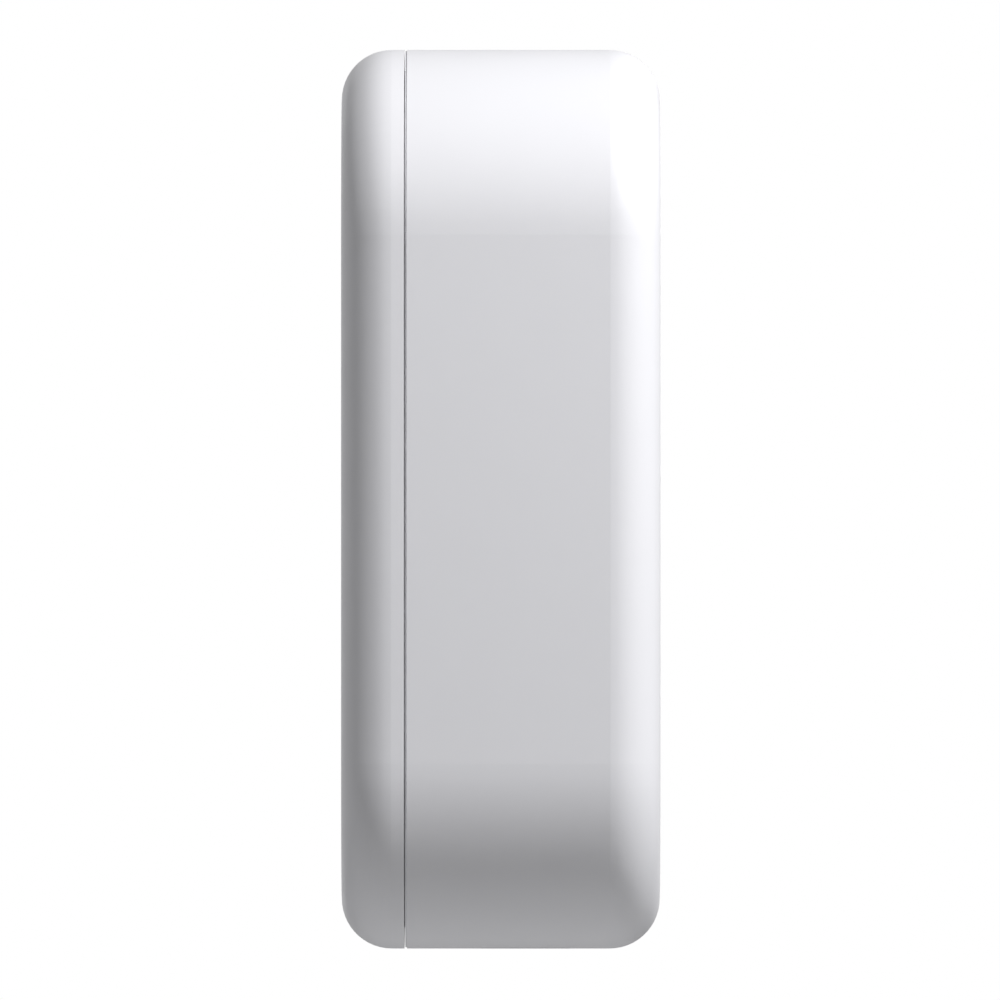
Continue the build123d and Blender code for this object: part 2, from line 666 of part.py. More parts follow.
# ---------------------------------------------------------------- window and what sits in it
WINDOW_PLAY = 0.15
WINDOW_FRONT = DEPTH - 0.2
WINDOW_EDGE = 0.3
BEZEL_RADIUS = 9.0
BEZEL_FLANGE_RADIUS = 9.6
BEZEL_BACK = 35.4
BEZEL_FRONT = DEPTH - 0.05
GLASS_RADIUS = 7.6
GLASS_SEAT = 36.3
GLASS_EDGE_FRONT = 37.0
GLASS_CROWN = 37.3
BEZEL_BORE_RADIUS = 6.9
BEZEL_LIP = 0.7
IR_WINDOW_RADIUS = 1.2
PIR_LENS_RADIUS = 5.5
PIR_FLANGE_RADIUS = 6.2
PIR_FLANGE_BACK = 35.5
PIR_EDGE_FRONT = 37.2
PIR_CROWN = 37.45
PIR_SHELL = 0.6
window_radius = WINDOW_RADIUS - WINDOW_PLAY

with BuildPart() as window_panel:
    with BuildSketch(at_depth(POCKET_FLOOR)):
        with Locations((0, window_z)):
            SlotOverall(window_run + 2 * window_radius, 2 * window_radius, rotation=90)
    extrude(amount=WINDOW_FRONT - POCKET_FLOOR)
    fillet(window_panel.edges().group_by(Axis.Y)[0], WINDOW_EDGE)
    with BuildSketch(at_depth(POCKET_FLOOR)):
        with Locations((0, LENS_Z)):
            Circle(BEZEL_RADIUS)
            with PolarLocations(IR_RADIUS, 4, start_angle=45):
                Circle(IR_WINDOW_RADIUS)
        with Locations((0, PIR_Z)):
            Circle(PIR_LENS_RADIUS)
    extrude(amount=WINDOW_FRONT - POCKET_FLOOR, mode=Mode.SUBTRACT)
window_panel.part.label = "window_panel"
export_step(window_panel.part, "parts/window_panel.step")

with BuildPart() as ir_windows:
    with BuildSketch(at_depth(POCKET_FLOOR)):
        with Locations((0, LENS_Z)):
            with PolarLocations(IR_RADIUS, 4, start_angle=45):
                Circle(IR_WINDOW_RADIUS)
    extrude(amount=WINDOW_FRONT - POCKET_FLOOR)
ir_windows.part.label = "ir_windows"
export_step(ir_windows.part, "parts/ir_windows.step")

with BuildPart() as lens_bezel:
    with BuildSketch(across_at(LENS_Z)):
        with BuildLine():
            Polyline(
                (BEZEL_BORE_RADIUS, -BEZEL_BACK),
                (BEZEL_FLANGE_RADIUS, -BEZEL_BACK),
                (BEZEL_FLANGE_RADIUS, -POCKET_FLOOR),
                (BEZEL_RADIUS, -POCKET_FLOOR),
                (BEZEL_RADIUS, -BEZEL_FRONT),
                (BEZEL_RADIUS - BEZEL_LIP, -BEZEL_FRONT),
                (GLASS_RADIUS, -GLASS_EDGE_FRONT),
                (GLASS_RADIUS, -GLASS_SEAT),
                (BEZEL_BORE_RADIUS, -GLASS_SEAT),
                close=True,
            )
        make_face()
    revolve(axis=front_axis(LENS_Z))
lens_bezel.part.label = "lens_bezel"
export_step(lens_bezel.part, "parts/lens_bezel.step")

with BuildPart() as cover_glass:
    with BuildSketch(across_at(LENS_Z)):
        with BuildLine():
            Polyline(
                (GLASS_RADIUS, -GLASS_EDGE_FRONT),
                (GLASS_RADIUS, -GLASS_SEAT),
                (0, -GLASS_SEAT),
                (0, -GLASS_CROWN),
            )
            TangentArc((0, -GLASS_CROWN), (GLASS_RADIUS, -GLASS_EDGE_FRONT), tangent=(1, 0))
        make_face()
    revolve(axis=front_axis(LENS_Z))
cover_glass.part.label = "cover_glass"
export_step(cover_glass.part, "parts/cover_glass.step")

with BuildPart() as pir_lens:
    with BuildSketch(across_at(PIR_Z)):
        with BuildLine():
            Polyline(
                (PIR_LENS_RADIUS, -PIR_EDGE_FRONT),
                (PIR_LENS_RADIUS, -POCKET_FLOOR),
                (PIR_FLANGE_RADIUS, -POCKET_FLOOR),
                (PIR_FLANGE_RADIUS, -PIR_FLANGE_BACK),
                (PIR_LENS_RADIUS - PIR_SHELL, -PIR_FLANGE_BACK),
                (PIR_LENS_RADIUS - PIR_SHELL, -PIR_EDGE_FRONT + PIR_SHELL),
                (0, -PIR_CROWN + PIR_SHELL),
                (0, -PIR_CROWN),
            )
            TangentArc((0, -PIR_CROWN), (PIR_LENS_RADIUS, -PIR_EDGE_FRONT), tangent=(1, 0))
        make_face()
    revolve(axis=front_axis(PIR_Z))
pir_lens.part.label = "pir_lens"
export_step(pir_lens.part, "parts/pir_lens.step")

# ---------------------------------------------------------------- camera
FOAM_OUTER_RADIUS = 8.9
FOAM_INNER_RADIUS = 8.1
BARREL_BACK = 23.4
BARREL_RADIUS = 5.95
BARREL_HEAD_RADIUS = 7.3
BARREL_HEAD_BACK = 30.0
BARREL_FRONT = 34.6
FRONT_LENS_RADIUS = 6.0
FRONT_LENS_SEAT = 32.6
FRONT_LENS_EDGE = 33.8
FRONT_LENS_CROWN = 35.2
BARREL_BORE_RADIUS = 4.4
REAR_LENS_SEAT = 25.4
REAR_LENS_EDGE = 26.4
REAR_LENS_CROWN = 27.4
BARREL_EXIT_RADIUS = 3.6
HOLDER_SIZE = 13.0
HOLDER_BASE_FRONT = 25.4
HOLDER_NECK_RADIUS = 8.0
HOLDER_EAR_BACK = 29.9
HOLDER_EAR_SIZE = (24.0, 8.0)
SENSOR_BAY_SIZE = 9.5
SENSOR_BAY_FRONT = 23.2
SENSOR_SIZE = 8.0
SENSOR_HEIGHT = 0.9
CAMERA_BOARD_SIZE = (18.0, 15.0)
CAMERA_SCREW_HEAD_RADIUS = 1.4
CAMERA_SCREW_HEAD_HEIGHT = 1.0

with BuildPart() as lens_foam:
    with BuildSketch(at_depth(BOARD_FRONT)):
        with Locations((0, LENS_Z)):
            Circle(FOAM_OUTER_RADIUS)
            Circle(FOAM_INNER_RADIUS, mode=Mode.SUBTRACT)
    extrude(amount=BEZEL_BACK - BOARD_FRONT)
lens_foam.part.label = "lens_foam"
export_step(lens_foam.part, "parts/lens_foam.step")

with BuildPart() as lens_barrel:
    with BuildSketch(across_at(LENS_Z)):
        with BuildLine():
            Polyline(
                (BARREL_EXIT_RADIUS, -BARREL_BACK),
                (BARREL_RADIUS, -BARREL_BACK),
                (BARREL_RADIUS, -BARREL_HEAD_BACK),
                (BARREL_HEAD_RADIUS, -BARREL_HEAD_BACK),
                (BARREL_HEAD_RADIUS, -BARREL_FRONT),
                (FRONT_LENS_RADIUS, -BARREL_FRONT),
                (FRONT_LENS_RADIUS, -FRONT_LENS_SEAT),
                (BARREL_BORE_RADIUS, -FRONT_LENS_SEAT),
                (BARREL_BORE_RADIUS, -REAR_LENS_SEAT),
                (BARREL_EXIT_RADIUS, -REAR_LENS_SEAT),
                close=True,
            )
        make_face()
    revolve(axis=front_axis(LENS_Z))
lens_barrel.part.label = "lens_barrel"
export_step(lens_barrel.part, "parts/lens_barrel.step")

with BuildPart() as front_lens:
    with BuildSketch(across_at(LENS_Z)):
        with BuildLine():
            Polyline(
                (FRONT_LENS_RADIUS, -FRONT_LENS_EDGE),
                (FRONT_LENS_RADIUS, -FRONT_LENS_SEAT),
                (0, -FRONT_LENS_SEAT),
                (0, -FRONT_LENS_CROWN),
            )
            TangentArc((0, -FRONT_LENS_CROWN), (FRONT_LENS_RADIUS, -FRONT_LENS_EDGE), tangent=(1, 0))
        make_face()
    revolve(axis=front_axis(LENS_Z))
front_lens.part.label = "front_lens"
export_step(front_lens.part, "parts/front_lens.step")

with BuildPart() as rear_lens:
    with BuildSketch(across_at(LENS_Z)):
        with BuildLine():
            Polyline(
                (BARREL_BORE_RADIUS, -REAR_LENS_EDGE),
                (BARREL_BORE_RADIUS, -REAR_LENS_SEAT),
                (0, -REAR_LENS_SEAT),
                (0, -REAR_LENS_CROWN),
            )
            TangentArc((0, -REAR_LENS_CROWN), (BARREL_BORE_RADIUS, -REAR_LENS_EDGE), tangent=(1, 0))
        make_face()
    revolve(axis=front_axis(LENS_Z))
rear_lens.part.label = "rear_lens"
export_step(rear_lens.part, "parts/rear_lens.step")

with BuildPart() as lens_holder:
    with BuildSketch(at_depth(CAMERA_FRONT)):
        with Locations((0, LENS_Z)):
            Rectangle(HOLDER_SIZE, HOLDER_SIZE)
    extrude(amount=HOLDER_BASE_FRONT - CAMERA_FRONT)
    with BuildSketch(at_depth(HOLDER_BASE_FRONT)):
        with Locations((0, LENS_Z)):
            Circle(HOLDER_NECK_RADIUS)
    extrude(amount=BOARD_BACK - HOLDER_BASE_FRONT)
    with BuildSketch(at_depth(HOLDER_EAR_BACK)):
        with Locations((0, LENS_Z)):
            Rectangle(*HOLDER_EAR_SIZE)
    extrude(amount=BOARD_BACK - HOLDER_EAR_BACK)
    with BuildSketch(at_depth(CAMERA_FRONT)):
        with Locations((0, LENS_Z)):
            Rectangle(SENSOR_BAY_SIZE, SENSOR_BAY_SIZE)
    extrude(amount=SENSOR_BAY_FRONT - CAMERA_FRONT, mode=Mode.SUBTRACT)
    with BuildSketch(at_depth(SENSOR_BAY_FRONT)):
        with Locations((0, LENS_Z)):
            Circle(BARREL_RADIUS)
    extrude(amount=BOARD_BACK - SENSOR_BAY_FRONT, mode=Mode.SUBTRACT)
    with BuildSketch(at_depth(BARREL_HEAD_BACK)):
        with Locations((0, LENS_Z)):
            Circle(BARREL_HEAD_RADIUS + GLUE_GAP)
        with Locations(*camera_screw_places):
            Circle(CAMERA_SCREW_RADIUS)
    extrude(amount=BOARD_BACK - BARREL_HEAD_BACK, mode=Mode.SUBTRACT)
    with BuildSketch(at_depth(HOLDER_EAR_BACK)):
        with Locations(*camera_screw_places):
            Circle(CAMERA_SCREW_RADIUS)
    extrude(amount=BOARD_BACK - HOLDER_EAR_BACK, mode=Mode.SUBTRACT)
lens_holder.part.label = "lens_holder"
export_step(lens_holder.part, "parts/lens_holder.step")

with BuildPart() as camera_screws:
    with BuildSketch(at_depth(HOLDER_EAR_BACK)):
        with Locations(*camera_screw_places):
            Circle(CAMERA_SCREW_HEAD_RADIUS)
    extrude(amount=-CAMERA_SCREW_HEAD_HEIGHT)
    with BuildSketch(at_depth(HOLDER_EAR_BACK)):
        with Locations(*camera_screw_places):
            Circle(CAMERA_SCREW_RADIUS)
    extrude(amount=BOARD_FRONT - HOLDER_EAR_BACK)
camera_screws.part.label = "camera_screws"
export_step(camera_screws.part, "parts/camera_screws.step")

with BuildPart() as image_sensor:
    with BuildSketch(at_depth(CAMERA_FRONT)):
        with Locations((0, LENS_Z)):
            Rectangle(SENSOR_SIZE, SENSOR_SIZE)
    extrude(amount=SENSOR_HEIGHT)
image_sensor.part.label = "image_sensor"
export_step(image_sensor.part, "parts/image_sensor.step")

with BuildPart() as camera_board:
    with BuildSketch(at_depth(CAMERA_BACK)):
        with Locations((0, LENS_Z)):
            Rectangle(*CAMERA_BOARD_SIZE)
    extrude(amount=CAMERA_FRONT - CAMERA_BACK)
camera_board.part.label = "camera_board"
export_step(camera_board.part, "parts/camera_board.step")

FLEX_Z = 35.4
FLEX_WIDTH = 3.0
FLEX_THICKNESS = 0.2
FLEX_X = -13.2
FLEX_BEND = 1.2
FLEX_CAMERA_DEPTH = 21.9
FLEX_BOARD_DEPTH = 30.8
CONNECTOR_LENGTH = 1.8
CAMERA_CONNECTOR_X = -9.0
BOARD_CONNECTOR_X = -10.8
CONNECTOR_HEIGHT = 1.1

with BuildPart() as camera_flex:
    with BuildSketch(across_at(FLEX_Z)):
        with BuildLine():
            FilletPolyline(
                (CAMERA_CONNECTOR_X, -FLEX_CAMERA_DEPTH),
                (FLEX_X, -FLEX_CAMERA_DEPTH),
                (FLEX_X, -FLEX_BOARD_DEPTH),
                (BOARD_CONNECTOR_X, -FLEX_BOARD_DEPTH),
                radius=FLEX_BEND,
            )
        trace(line_width=FLEX_THICKNESS)
    extrude(amount=FLEX_WIDTH)
camera_flex.part.label = "camera_flex"
export_step(camera_flex.part, "parts/camera_flex.step")

with BuildPart() as flex_connectors:
    with BuildSketch(at_depth(CAMERA_FRONT)):
        with Locations((CAMERA_CONNECTOR_X, FLEX_Z)):
            Rectangle(CONNECTOR_LENGTH, FLEX_WIDTH, align=(Align.MIN, Align.MIN))
    extrude(amount=CONNECTOR_HEIGHT)
    with BuildSketch(at_depth(BOARD_BACK)):
        with Locations((BOARD_CONNECTOR_X, FLEX_Z)):
            Rectangle(CONNECTOR_LENGTH, FLEX_WIDTH, align=(Align.MIN, Align.MIN))
    extrude(amount=-CONNECTOR_HEIGHT)
flex_connectors.part.label = "flex_connectors"
export_step(flex_connectors.part, "parts/flex_connectors.step")

# ---------------------------------------------------------------- charging board
CHARGER_SIZE = (27.0, 15.0)
CHARGER_Z = 32.0
CHARGER_SCREW_HEAD_RADIUS = 1.7
CHARGER_SCREW_HEAD_HEIGHT = 0.8

with BuildPart() as charging_board:
    with BuildSketch(at_depth(CHARGER_BACK)):
        with Locations((0, CHARGER_Z)):
            Rectangle(*CHARGER_SIZE)
        with Locations(*charger_screw_places):
            Circle(CHARGER_PILOT_RADIUS, mode=Mode.SUBTRACT)
    extrude(amount=CHARGER_FRONT - CHARGER_BACK)
charging_board.part.label = "charging_board"
export_step(charging_board.part, "parts/charging_board.step")

with BuildPart() as charging_screws:
    with BuildSketch(at_depth(CHARGER_FRONT)):
        with Locations(*charger_screw_places):
            Circle(CHARGER_SCREW_HEAD_RADIUS)
    extrude(amount=CHARGER_SCREW_HEAD_HEIGHT)
    with BuildSketch(at_depth(CHARGER_FRONT)):
        with Locations(*charger_screw_places):
            Circle(CHARGER_PILOT_RADIUS)
    extrude(amount=CHARGER_BACK - CHARGER_PILOT_DEPTH - CHARGER_FRONT)
charging_screws.part.label = "charging_screws"
export_step(charging_screws.part, "parts/charging_screws.step")

USB_SHELL_SIZE = (9.0, 3.2)
USB_BORE_SIZE = (8.4, 2.6)
USB_TONGUE_SIZE = (6.6, 0.7)
USB_MOUTH = COVER_BACK + USB_RECESS_DEPTH
USB_TONGUE_BACK = 13.8
USB_BORE_END = 17.4

with BuildPart() as usb_port:
    with BuildSketch(at_depth(USB_MOUTH)):
        with Locations((0, USB_Z)):
            RectangleRounded(*USB_SHELL_SIZE, USB_SHELL_SIZE[1] / 2.2)
    extrude(amount=CHARGER_BACK - USB_MOUTH)
    with BuildSketch(at_depth(USB_MOUTH)):
        with Locations((0, USB_Z)):
            RectangleRounded(*USB_BORE_SIZE, USB_BORE_SIZE[1] / 2.2)
    extrude(amount=USB_BORE_END - USB_MOUTH, mode=Mode.SUBTRACT)
    with BuildSketch(at_depth(USB_TONGUE_BACK)):
        with Locations((0, USB_Z)):
            Rectangle(*USB_TONGUE_SIZE)
    extrude(amount=CHARGER_BACK - USB_TONGUE_BACK)
usb_port.part.label = "usb_port"
export_step(usb_port.part, "parts/usb_port.step")

USB_COVER_SIZE = (15.4, 7.4)
USB_PLUG_SIZE = (7.8, 2.0)
USB_PLUG_FRONT = 13.2
USB_TAB_SIZE = (7.0, 1.2)
USB_TAB_HEIGHT = 0.8
BODY_GAP = 0.1

with BuildPart() as usb_cover:
    with BuildSketch(at_depth(COVER_BACK + BODY_GAP)):
        with Locations((0, USB_Z)):
            RectangleRounded(*USB_COVER_SIZE, USB_COVER_SIZE[1] / 4.2)
    extrude(amount=USB_RECESS_DEPTH - 2 * BODY_GAP)
    with BuildSketch(at_depth(USB_MOUTH - BODY_GAP)):
        with Locations((0, USB_Z)):
            RectangleRounded(*USB_PLUG_SIZE, USB_PLUG_SIZE[1] / 2.2)
    extrude(amount=USB_PLUG_FRONT - USB_MOUTH + BODY_GAP)
    with BuildSketch(at_depth(COVER_BACK + BODY_GAP)):
        with Locations((0, USB_Z)):
            RectangleRounded(*USB_TAB_SIZE, USB_TAB_SIZE[1] / 2.2)
    extrude(amount=-USB_TAB_HEIGHT)
usb_cover.part.label = "usb_cover"
export_step(usb_cover.part, "parts/usb_cover.step")

PAIR_SWITCH_SIZE = 6.0
PAIR_SWITCH_BACK = 14.9
PAIR_SWITCH_FLOOR = 16.4
PAIR_STEM_RADIUS = 1.6
PAIR_STEM_FRONT = 15.6
PAIR_BORE_RADIUS = 1.9
PAIR_CAP_RADIUS = 2.8
PAIR_FLANGE_RADIUS = 3.8
PAIR_FLANGE_FRONT = 12.7

with BuildPart() as pair_switch:
    with BuildSketch(at_depth(PAIR_SWITCH_BACK)):
        with Locations(PAIR_PLACE):
            Rectangle(PAIR_SWITCH_SIZE, PAIR_SWITCH_SIZE)
    extrude(amount=CHARGER_BACK - PAIR_SWITCH_BACK)
    with BuildSketch(at_depth(PAIR_SWITCH_BACK)):
        with Locations(PAIR_PLACE):
            Circle(PAIR_BORE_RADIUS)
    extrude(amount=PAIR_SWITCH_FLOOR - PAIR_SWITCH_BACK, mode=Mode.SUBTRACT)
pair_switch.part.label = "pair_switch"
export_step(pair_switch.part, "parts/pair_switch.step")

with BuildPart() as pair_switch_stem:
    with BuildSketch(at_depth(PAIR_FLANGE_FRONT)):
        with Locations(PAIR_PLACE):
            Circle(PAIR_STEM_RADIUS)
    extrude(amount=PAIR_STEM_FRONT - PAIR_FLANGE_FRONT)
pair_switch_stem.part.label = "pair_switch_stem"
export_step(pair_switch_stem.part, "parts/pair_switch_stem.step")

with BuildPart() as pair_button:
    with BuildSketch(at_depth(COVER_BACK + BODY_GAP)):
        with Locations(PAIR_PLACE):
            Circle(PAIR_CAP_RADIUS)
    extrude(amount=PAIR_FLANGE_FRONT - COVER_BACK - BODY_GAP)
    with BuildSketch(at_depth(COVER_FRONT + BODY_GAP)):
        with Locations(PAIR_PLACE):
            Circle(PAIR_FLANGE_RADIUS)
    extrude(amount=PAIR_FLANGE_FRONT - COVER_FRONT - BODY_GAP)
pair_button.part.label = "pair_button"
export_step(pair_button.part, "parts/pair_button.step")

TAMPER_SENSOR_SIZE = (3.0, 2.6)
TAMPER_SENSOR_HEIGHT = 1.1

with BuildPart() as tamper_sensor:
    with BuildSketch(at_depth(CHARGER_BACK)):
        with Locations(TAMPER_PLACE):
            Rectangle(*TAMPER_SENSOR_SIZE)
    extrude(amount=-TAMPER_SENSOR_HEIGHT)
tamper_sensor.part.label = "tamper_sensor"
export_step(tamper_sensor.part, "parts/tamper_sensor.step")

STACKER_X = 11.6
STACKER_Z = 25.3
STACKER_SIZE = (3.4, 1.4)

with BuildPart() as board_connectors:
    with BuildSketch(at_depth(CHARGER_FRONT)):
        with Locations((-STACKER_X, STACKER_Z), (STACKER_X, STACKER_Z)):
            Rectangle(*STACKER_SIZE)
    extrude(amount=BOARD_BACK - CHARGER_FRONT)
board_connectors.part.label = "board_connectors"
export_step(board_connectors.part, "parts/board_connectors.step")

# ---------------------------------------------------------------- battery
CELL_LENGTH = 65.0
CELL_BOTTOM = -42.2
CELL_EDGE = 0.6
PROTECTION_RADIUS = 8.8
PROTECTION_THICKNESS = 1.0
FOAM_BLOCK_HALF_WIDTH = 5.0
FOAM_BLOCK_BACK = 30.0
FOAM_BLOCK_LENGTH = 12.0
FOAM_BLOCK_HEIGHTS = (-25.0, 5.0)

with BuildPart() as battery_cell:
    with BuildSketch(across_at(CELL_BOTTOM)):
        with Locations((0, -CELL_DEPTH)):
            Circle(CELL_RADIUS)
    extrude(amount=CELL_LENGTH)
    fillet(battery_cell.edges().filter_by(GeomType.CIRCLE), CELL_EDGE)
battery_cell.part.label = "battery_cell"
export_step(battery_cell.part, "parts/battery_cell.step")

with BuildPart() as protection_board:
    with BuildSketch(across_at(CELL_BOTTOM)):
        with Locations((0, -CELL_DEPTH)):
            Circle(PROTECTION_RADIUS)
    extrude(amount=-PROTECTION_THICKNESS)
protection_board.part.label = "protection_board"
export_step(protection_board.part, "parts/protection_board.step")

with BuildPart() as battery_pads:
    for height in SADDLE_HEIGHTS:
        with BuildSketch(across_at(height - SADDLE_THICKNESS / 2)):
            with Locations((0, -CELL_DEPTH)):
                Circle(saddle_radius)
                Circle(CELL_RADIUS, mode=Mode.SUBTRACT)
            with Locations((0, -(COVER_FRONT + SADDLE_TOP) / 2)):
                Rectangle(2 * SADDLE_HALF_WIDTH, SADDLE_TOP - COVER_FRONT, mode=Mode.INTERSECT)
        extrude(amount=SADDLE_THICKNESS)
    for height in FOAM_BLOCK_HEIGHTS:
        with BuildSketch(across_at(height - FOAM_BLOCK_LENGTH / 2)):
            with Locations((0, -(FOAM_BLOCK_BACK + BOARD_BACK) / 2)):
                Rectangle(2 * FOAM_BLOCK_HALF_WIDTH, BOARD_BACK - FOAM_BLOCK_BACK)
            with Locations((0, -CELL_DEPTH)):
                Circle(CELL_RADIUS, mode=Mode.SUBTRACT)
        extrude(amount=FOAM_BLOCK_LENGTH)
battery_pads.part.label = "battery_pads"
export_step(battery_pads.part, "parts/battery_pads.step")

SOCKET_X = 11.0
SOCKET_SIZE = (4.4, 5.6)
SOCKET_BOTTOM = -5.0
SOCKET_BACK = 27.6
PLUG_SIZE = (4.0, 3.6)
PLUG_BACK = 28.0
PLUG_FRONT = 31.0
LEAD_RADIUS = 0.6
LEAD_X = 10.6
LEAD_START = CELL_BOTTOM - PROTECTION_THICKNESS / 2
LEAD_END_DEPTH = (PLUG_BACK + PLUG_FRONT) / 2
LEAD_BENDS = (1.2, 5.0, 3.5)
RED_DEPTH = 23.4
RED_END_X = 10.1
RED_TURN = -20.0
BLACK_DEPTH = 21.5
BLACK_END_X = 11.9
BLACK_TURN = -18.0
LEAD_RISE = 6.0
plug_bottom = SOCKET_BOTTOM - PLUG_SIZE[1]

with BuildPart() as battery_socket:
    with BuildSketch(at_depth(SOCKET_BACK)):
        with Locations((SOCKET_X, SOCKET_BOTTOM)):
            Rectangle(*SOCKET_SIZE, align=(Align.CENTER, Align.MIN))
    extrude(amount=BOARD_BACK - SOCKET_BACK)
battery_socket.part.label = "battery_socket"
export_step(battery_socket.part, "parts/battery_socket.step")

with BuildPart() as battery_plug:
    with BuildSketch(at_depth(PLUG_BACK)):
        with Locations((SOCKET_X, SOCKET_BOTTOM)):
            Rectangle(*PLUG_SIZE, align=(Align.CENTER, Align.MAX))
    extrude(amount=PLUG_FRONT - PLUG_BACK)
battery_plug.part.label = "battery_plug"
export_step(battery_plug.part, "parts/battery_plug.step")


def lead_route(depth, end_x, turn):
    """Corners of a battery lead: off the protection board, up beside the cell, into the plug."""
    return [
        (PROTECTION_RADIUS, -depth, LEAD_START),
        (LEAD_X, -depth, LEAD_START),
        (LEAD_X, -depth, turn),
        (end_x, -LEAD_END_DEPTH, turn + LEAD_RISE),
        (end_x, -LEAD_END_DEPTH, plug_bottom),
    ]


with BuildPart() as battery_lead_red:
    with BuildLine() as red_route:
        FilletPolyline(*lead_route(RED_DEPTH, RED_END_X, RED_TURN), radius=list(LEAD_BENDS))
    with BuildSketch(Plane(origin=red_route.line @ 0, z_dir=red_route.line % 0)):
        Circle(LEAD_RADIUS)
    sweep(path=red_route.line)
battery_lead_red.part.label = "battery_lead_red"
export_step(battery_lead_red.part, "parts/battery_lead_red.step")

with BuildPart() as battery_lead_black:
    with BuildLine() as black_route:
        FilletPolyline(*lead_route(BLACK_DEPTH, BLACK_END_X, BLACK_TURN), radius=list(LEAD_BENDS))
    with BuildSketch(Plane(origin=black_route.line @ 0, z_dir=black_route.line % 0)):
        Circle(LEAD_RADIUS)
    sweep(path=black_route.line)
battery_lead_black.part.label = "battery_lead_black"
export_step(battery_lead_black.part, "parts/battery_lead_black.step")

# ---------------------------------------------------------------- speaker
CONE_BAY_SIZE = (13.0, 10.0)
CONE_BAY_TOP = -46.4
COIL_GAP_OUTER = 3.4
COIL_GAP_INNER = 2.3
COIL_GAP_TOP = -45.0
CONE_SIZE = (12.4, 9.4)
CONE_BOTTOM = -47.3
CONE_THICKNESS = 0.4
COIL_OUTER = 3.0
COIL_INNER = 2.7
COIL_TOP = -45.6
GASKET_OPENING = (14.0, 11.0)
MESH_BOTTOM = -48.4
MESH_THICKNESS = 0.2
CONTACT_X = 2.0
CONTACT_Z = -44.3
CONTACT_RADIUS = 0.45
speaker_length = SPEAKER_FRONT - SPEAKER_BACK

with BuildPart() as speaker:
    with BuildSketch(across_at(SPEAKER_BOTTOM)):
        with Locations((0, -speaker_middle)):
            Rectangle(SPEAKER_WIDTH, speaker_length)
    extrude(amount=SPEAKER_TOP - SPEAKER_BOTTOM)
    with BuildSketch(across_at(SPEAKER_BOTTOM)):
        with Locations((0, -speaker_middle)):
            RectangleRounded(*CONE_BAY_SIZE, CONE_BAY_SIZE[1] / 4)
    extrude(amount=CONE_BAY_TOP - SPEAKER_BOTTOM, mode=Mode.SUBTRACT)
    with BuildSketch(across_at(CONE_BAY_TOP)):
        with Locations((0, -speaker_middle)):
            Circle(COIL_GAP_OUTER)
            Circle(COIL_GAP_INNER, mode=Mode.SUBTRACT)
    extrude(amount=COIL_GAP_TOP - CONE_BAY_TOP, mode=Mode.SUBTRACT)
speaker.part.label = "speaker"
export_step(speaker.part, "parts/speaker.step")

with BuildPart() as speaker_cone:
    with BuildSketch(across_at(CONE_BOTTOM)):
        with Locations((0, -speaker_middle)):
            RectangleRounded(*CONE_SIZE, CONE_SIZE[1] / 4)
    extrude(amount=CONE_THICKNESS)
    with BuildSketch(across_at(CONE_BOTTOM + CONE_THICKNESS)):
        with Locations((0, -speaker_middle)):
            Circle(COIL_OUTER)
            Circle(COIL_INNER, mode=Mode.SUBTRACT)
    extrude(amount=COIL_TOP - CONE_BOTTOM - CONE_THICKNESS)
speaker_cone.part.label = "speaker_cone"
export_step(speaker_cone.part, "parts/speaker_cone.step")

with BuildPart() as speaker_gasket:
    with BuildSketch(at_depth(SPEAKER_BACK)):
        capsule(WALL)
        with Locations((0, SPEAKER_BOTTOM)):
            Rectangle(
                SPEAKER_WIDTH, WIDTH / 2, align=(Align.CENTER, Align.MAX), mode=Mode.INTERSECT
            )
    extrude(amount=speaker_length)
    with BuildSketch(across_at(SPEAKER_BOTTOM)):
        with Locations((0, -speaker_middle)):
            Rectangle(*GASKET_OPENING)
    extrude(amount=-WIDTH / 2, mode=Mode.SUBTRACT)
speaker_gasket.part.label = "speaker_gasket"
export_step(speaker_gasket.part, "parts/speaker_gasket.step")

with BuildPart() as speaker_mesh:
    with BuildSketch(across_at(MESH_BOTTOM)):
        with Locations((0, -speaker_middle)):
            Rectangle(*GASKET_OPENING)
    extrude(amount=MESH_THICKNESS)
speaker_mesh.part.label = "speaker_mesh"
export_step(speaker_mesh.part, "parts/speaker_mesh.step")

with BuildPart() as speaker_contacts:
    with BuildSketch(at_depth(SPEAKER_FRONT)):
        with Locations((-CONTACT_X, CONTACT_Z), (CONTACT_X, CONTACT_Z)):
            Circle(CONTACT_RADIUS)
    extrude(amount=BOARD_BACK - SPEAKER_FRONT)
speaker_contacts.part.label = "speaker_contacts"
export_step(speaker_contacts.part, "parts/speaker_contacts.step")
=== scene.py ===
import math

import bmesh
import bpy
from mathutils import Matrix, Vector


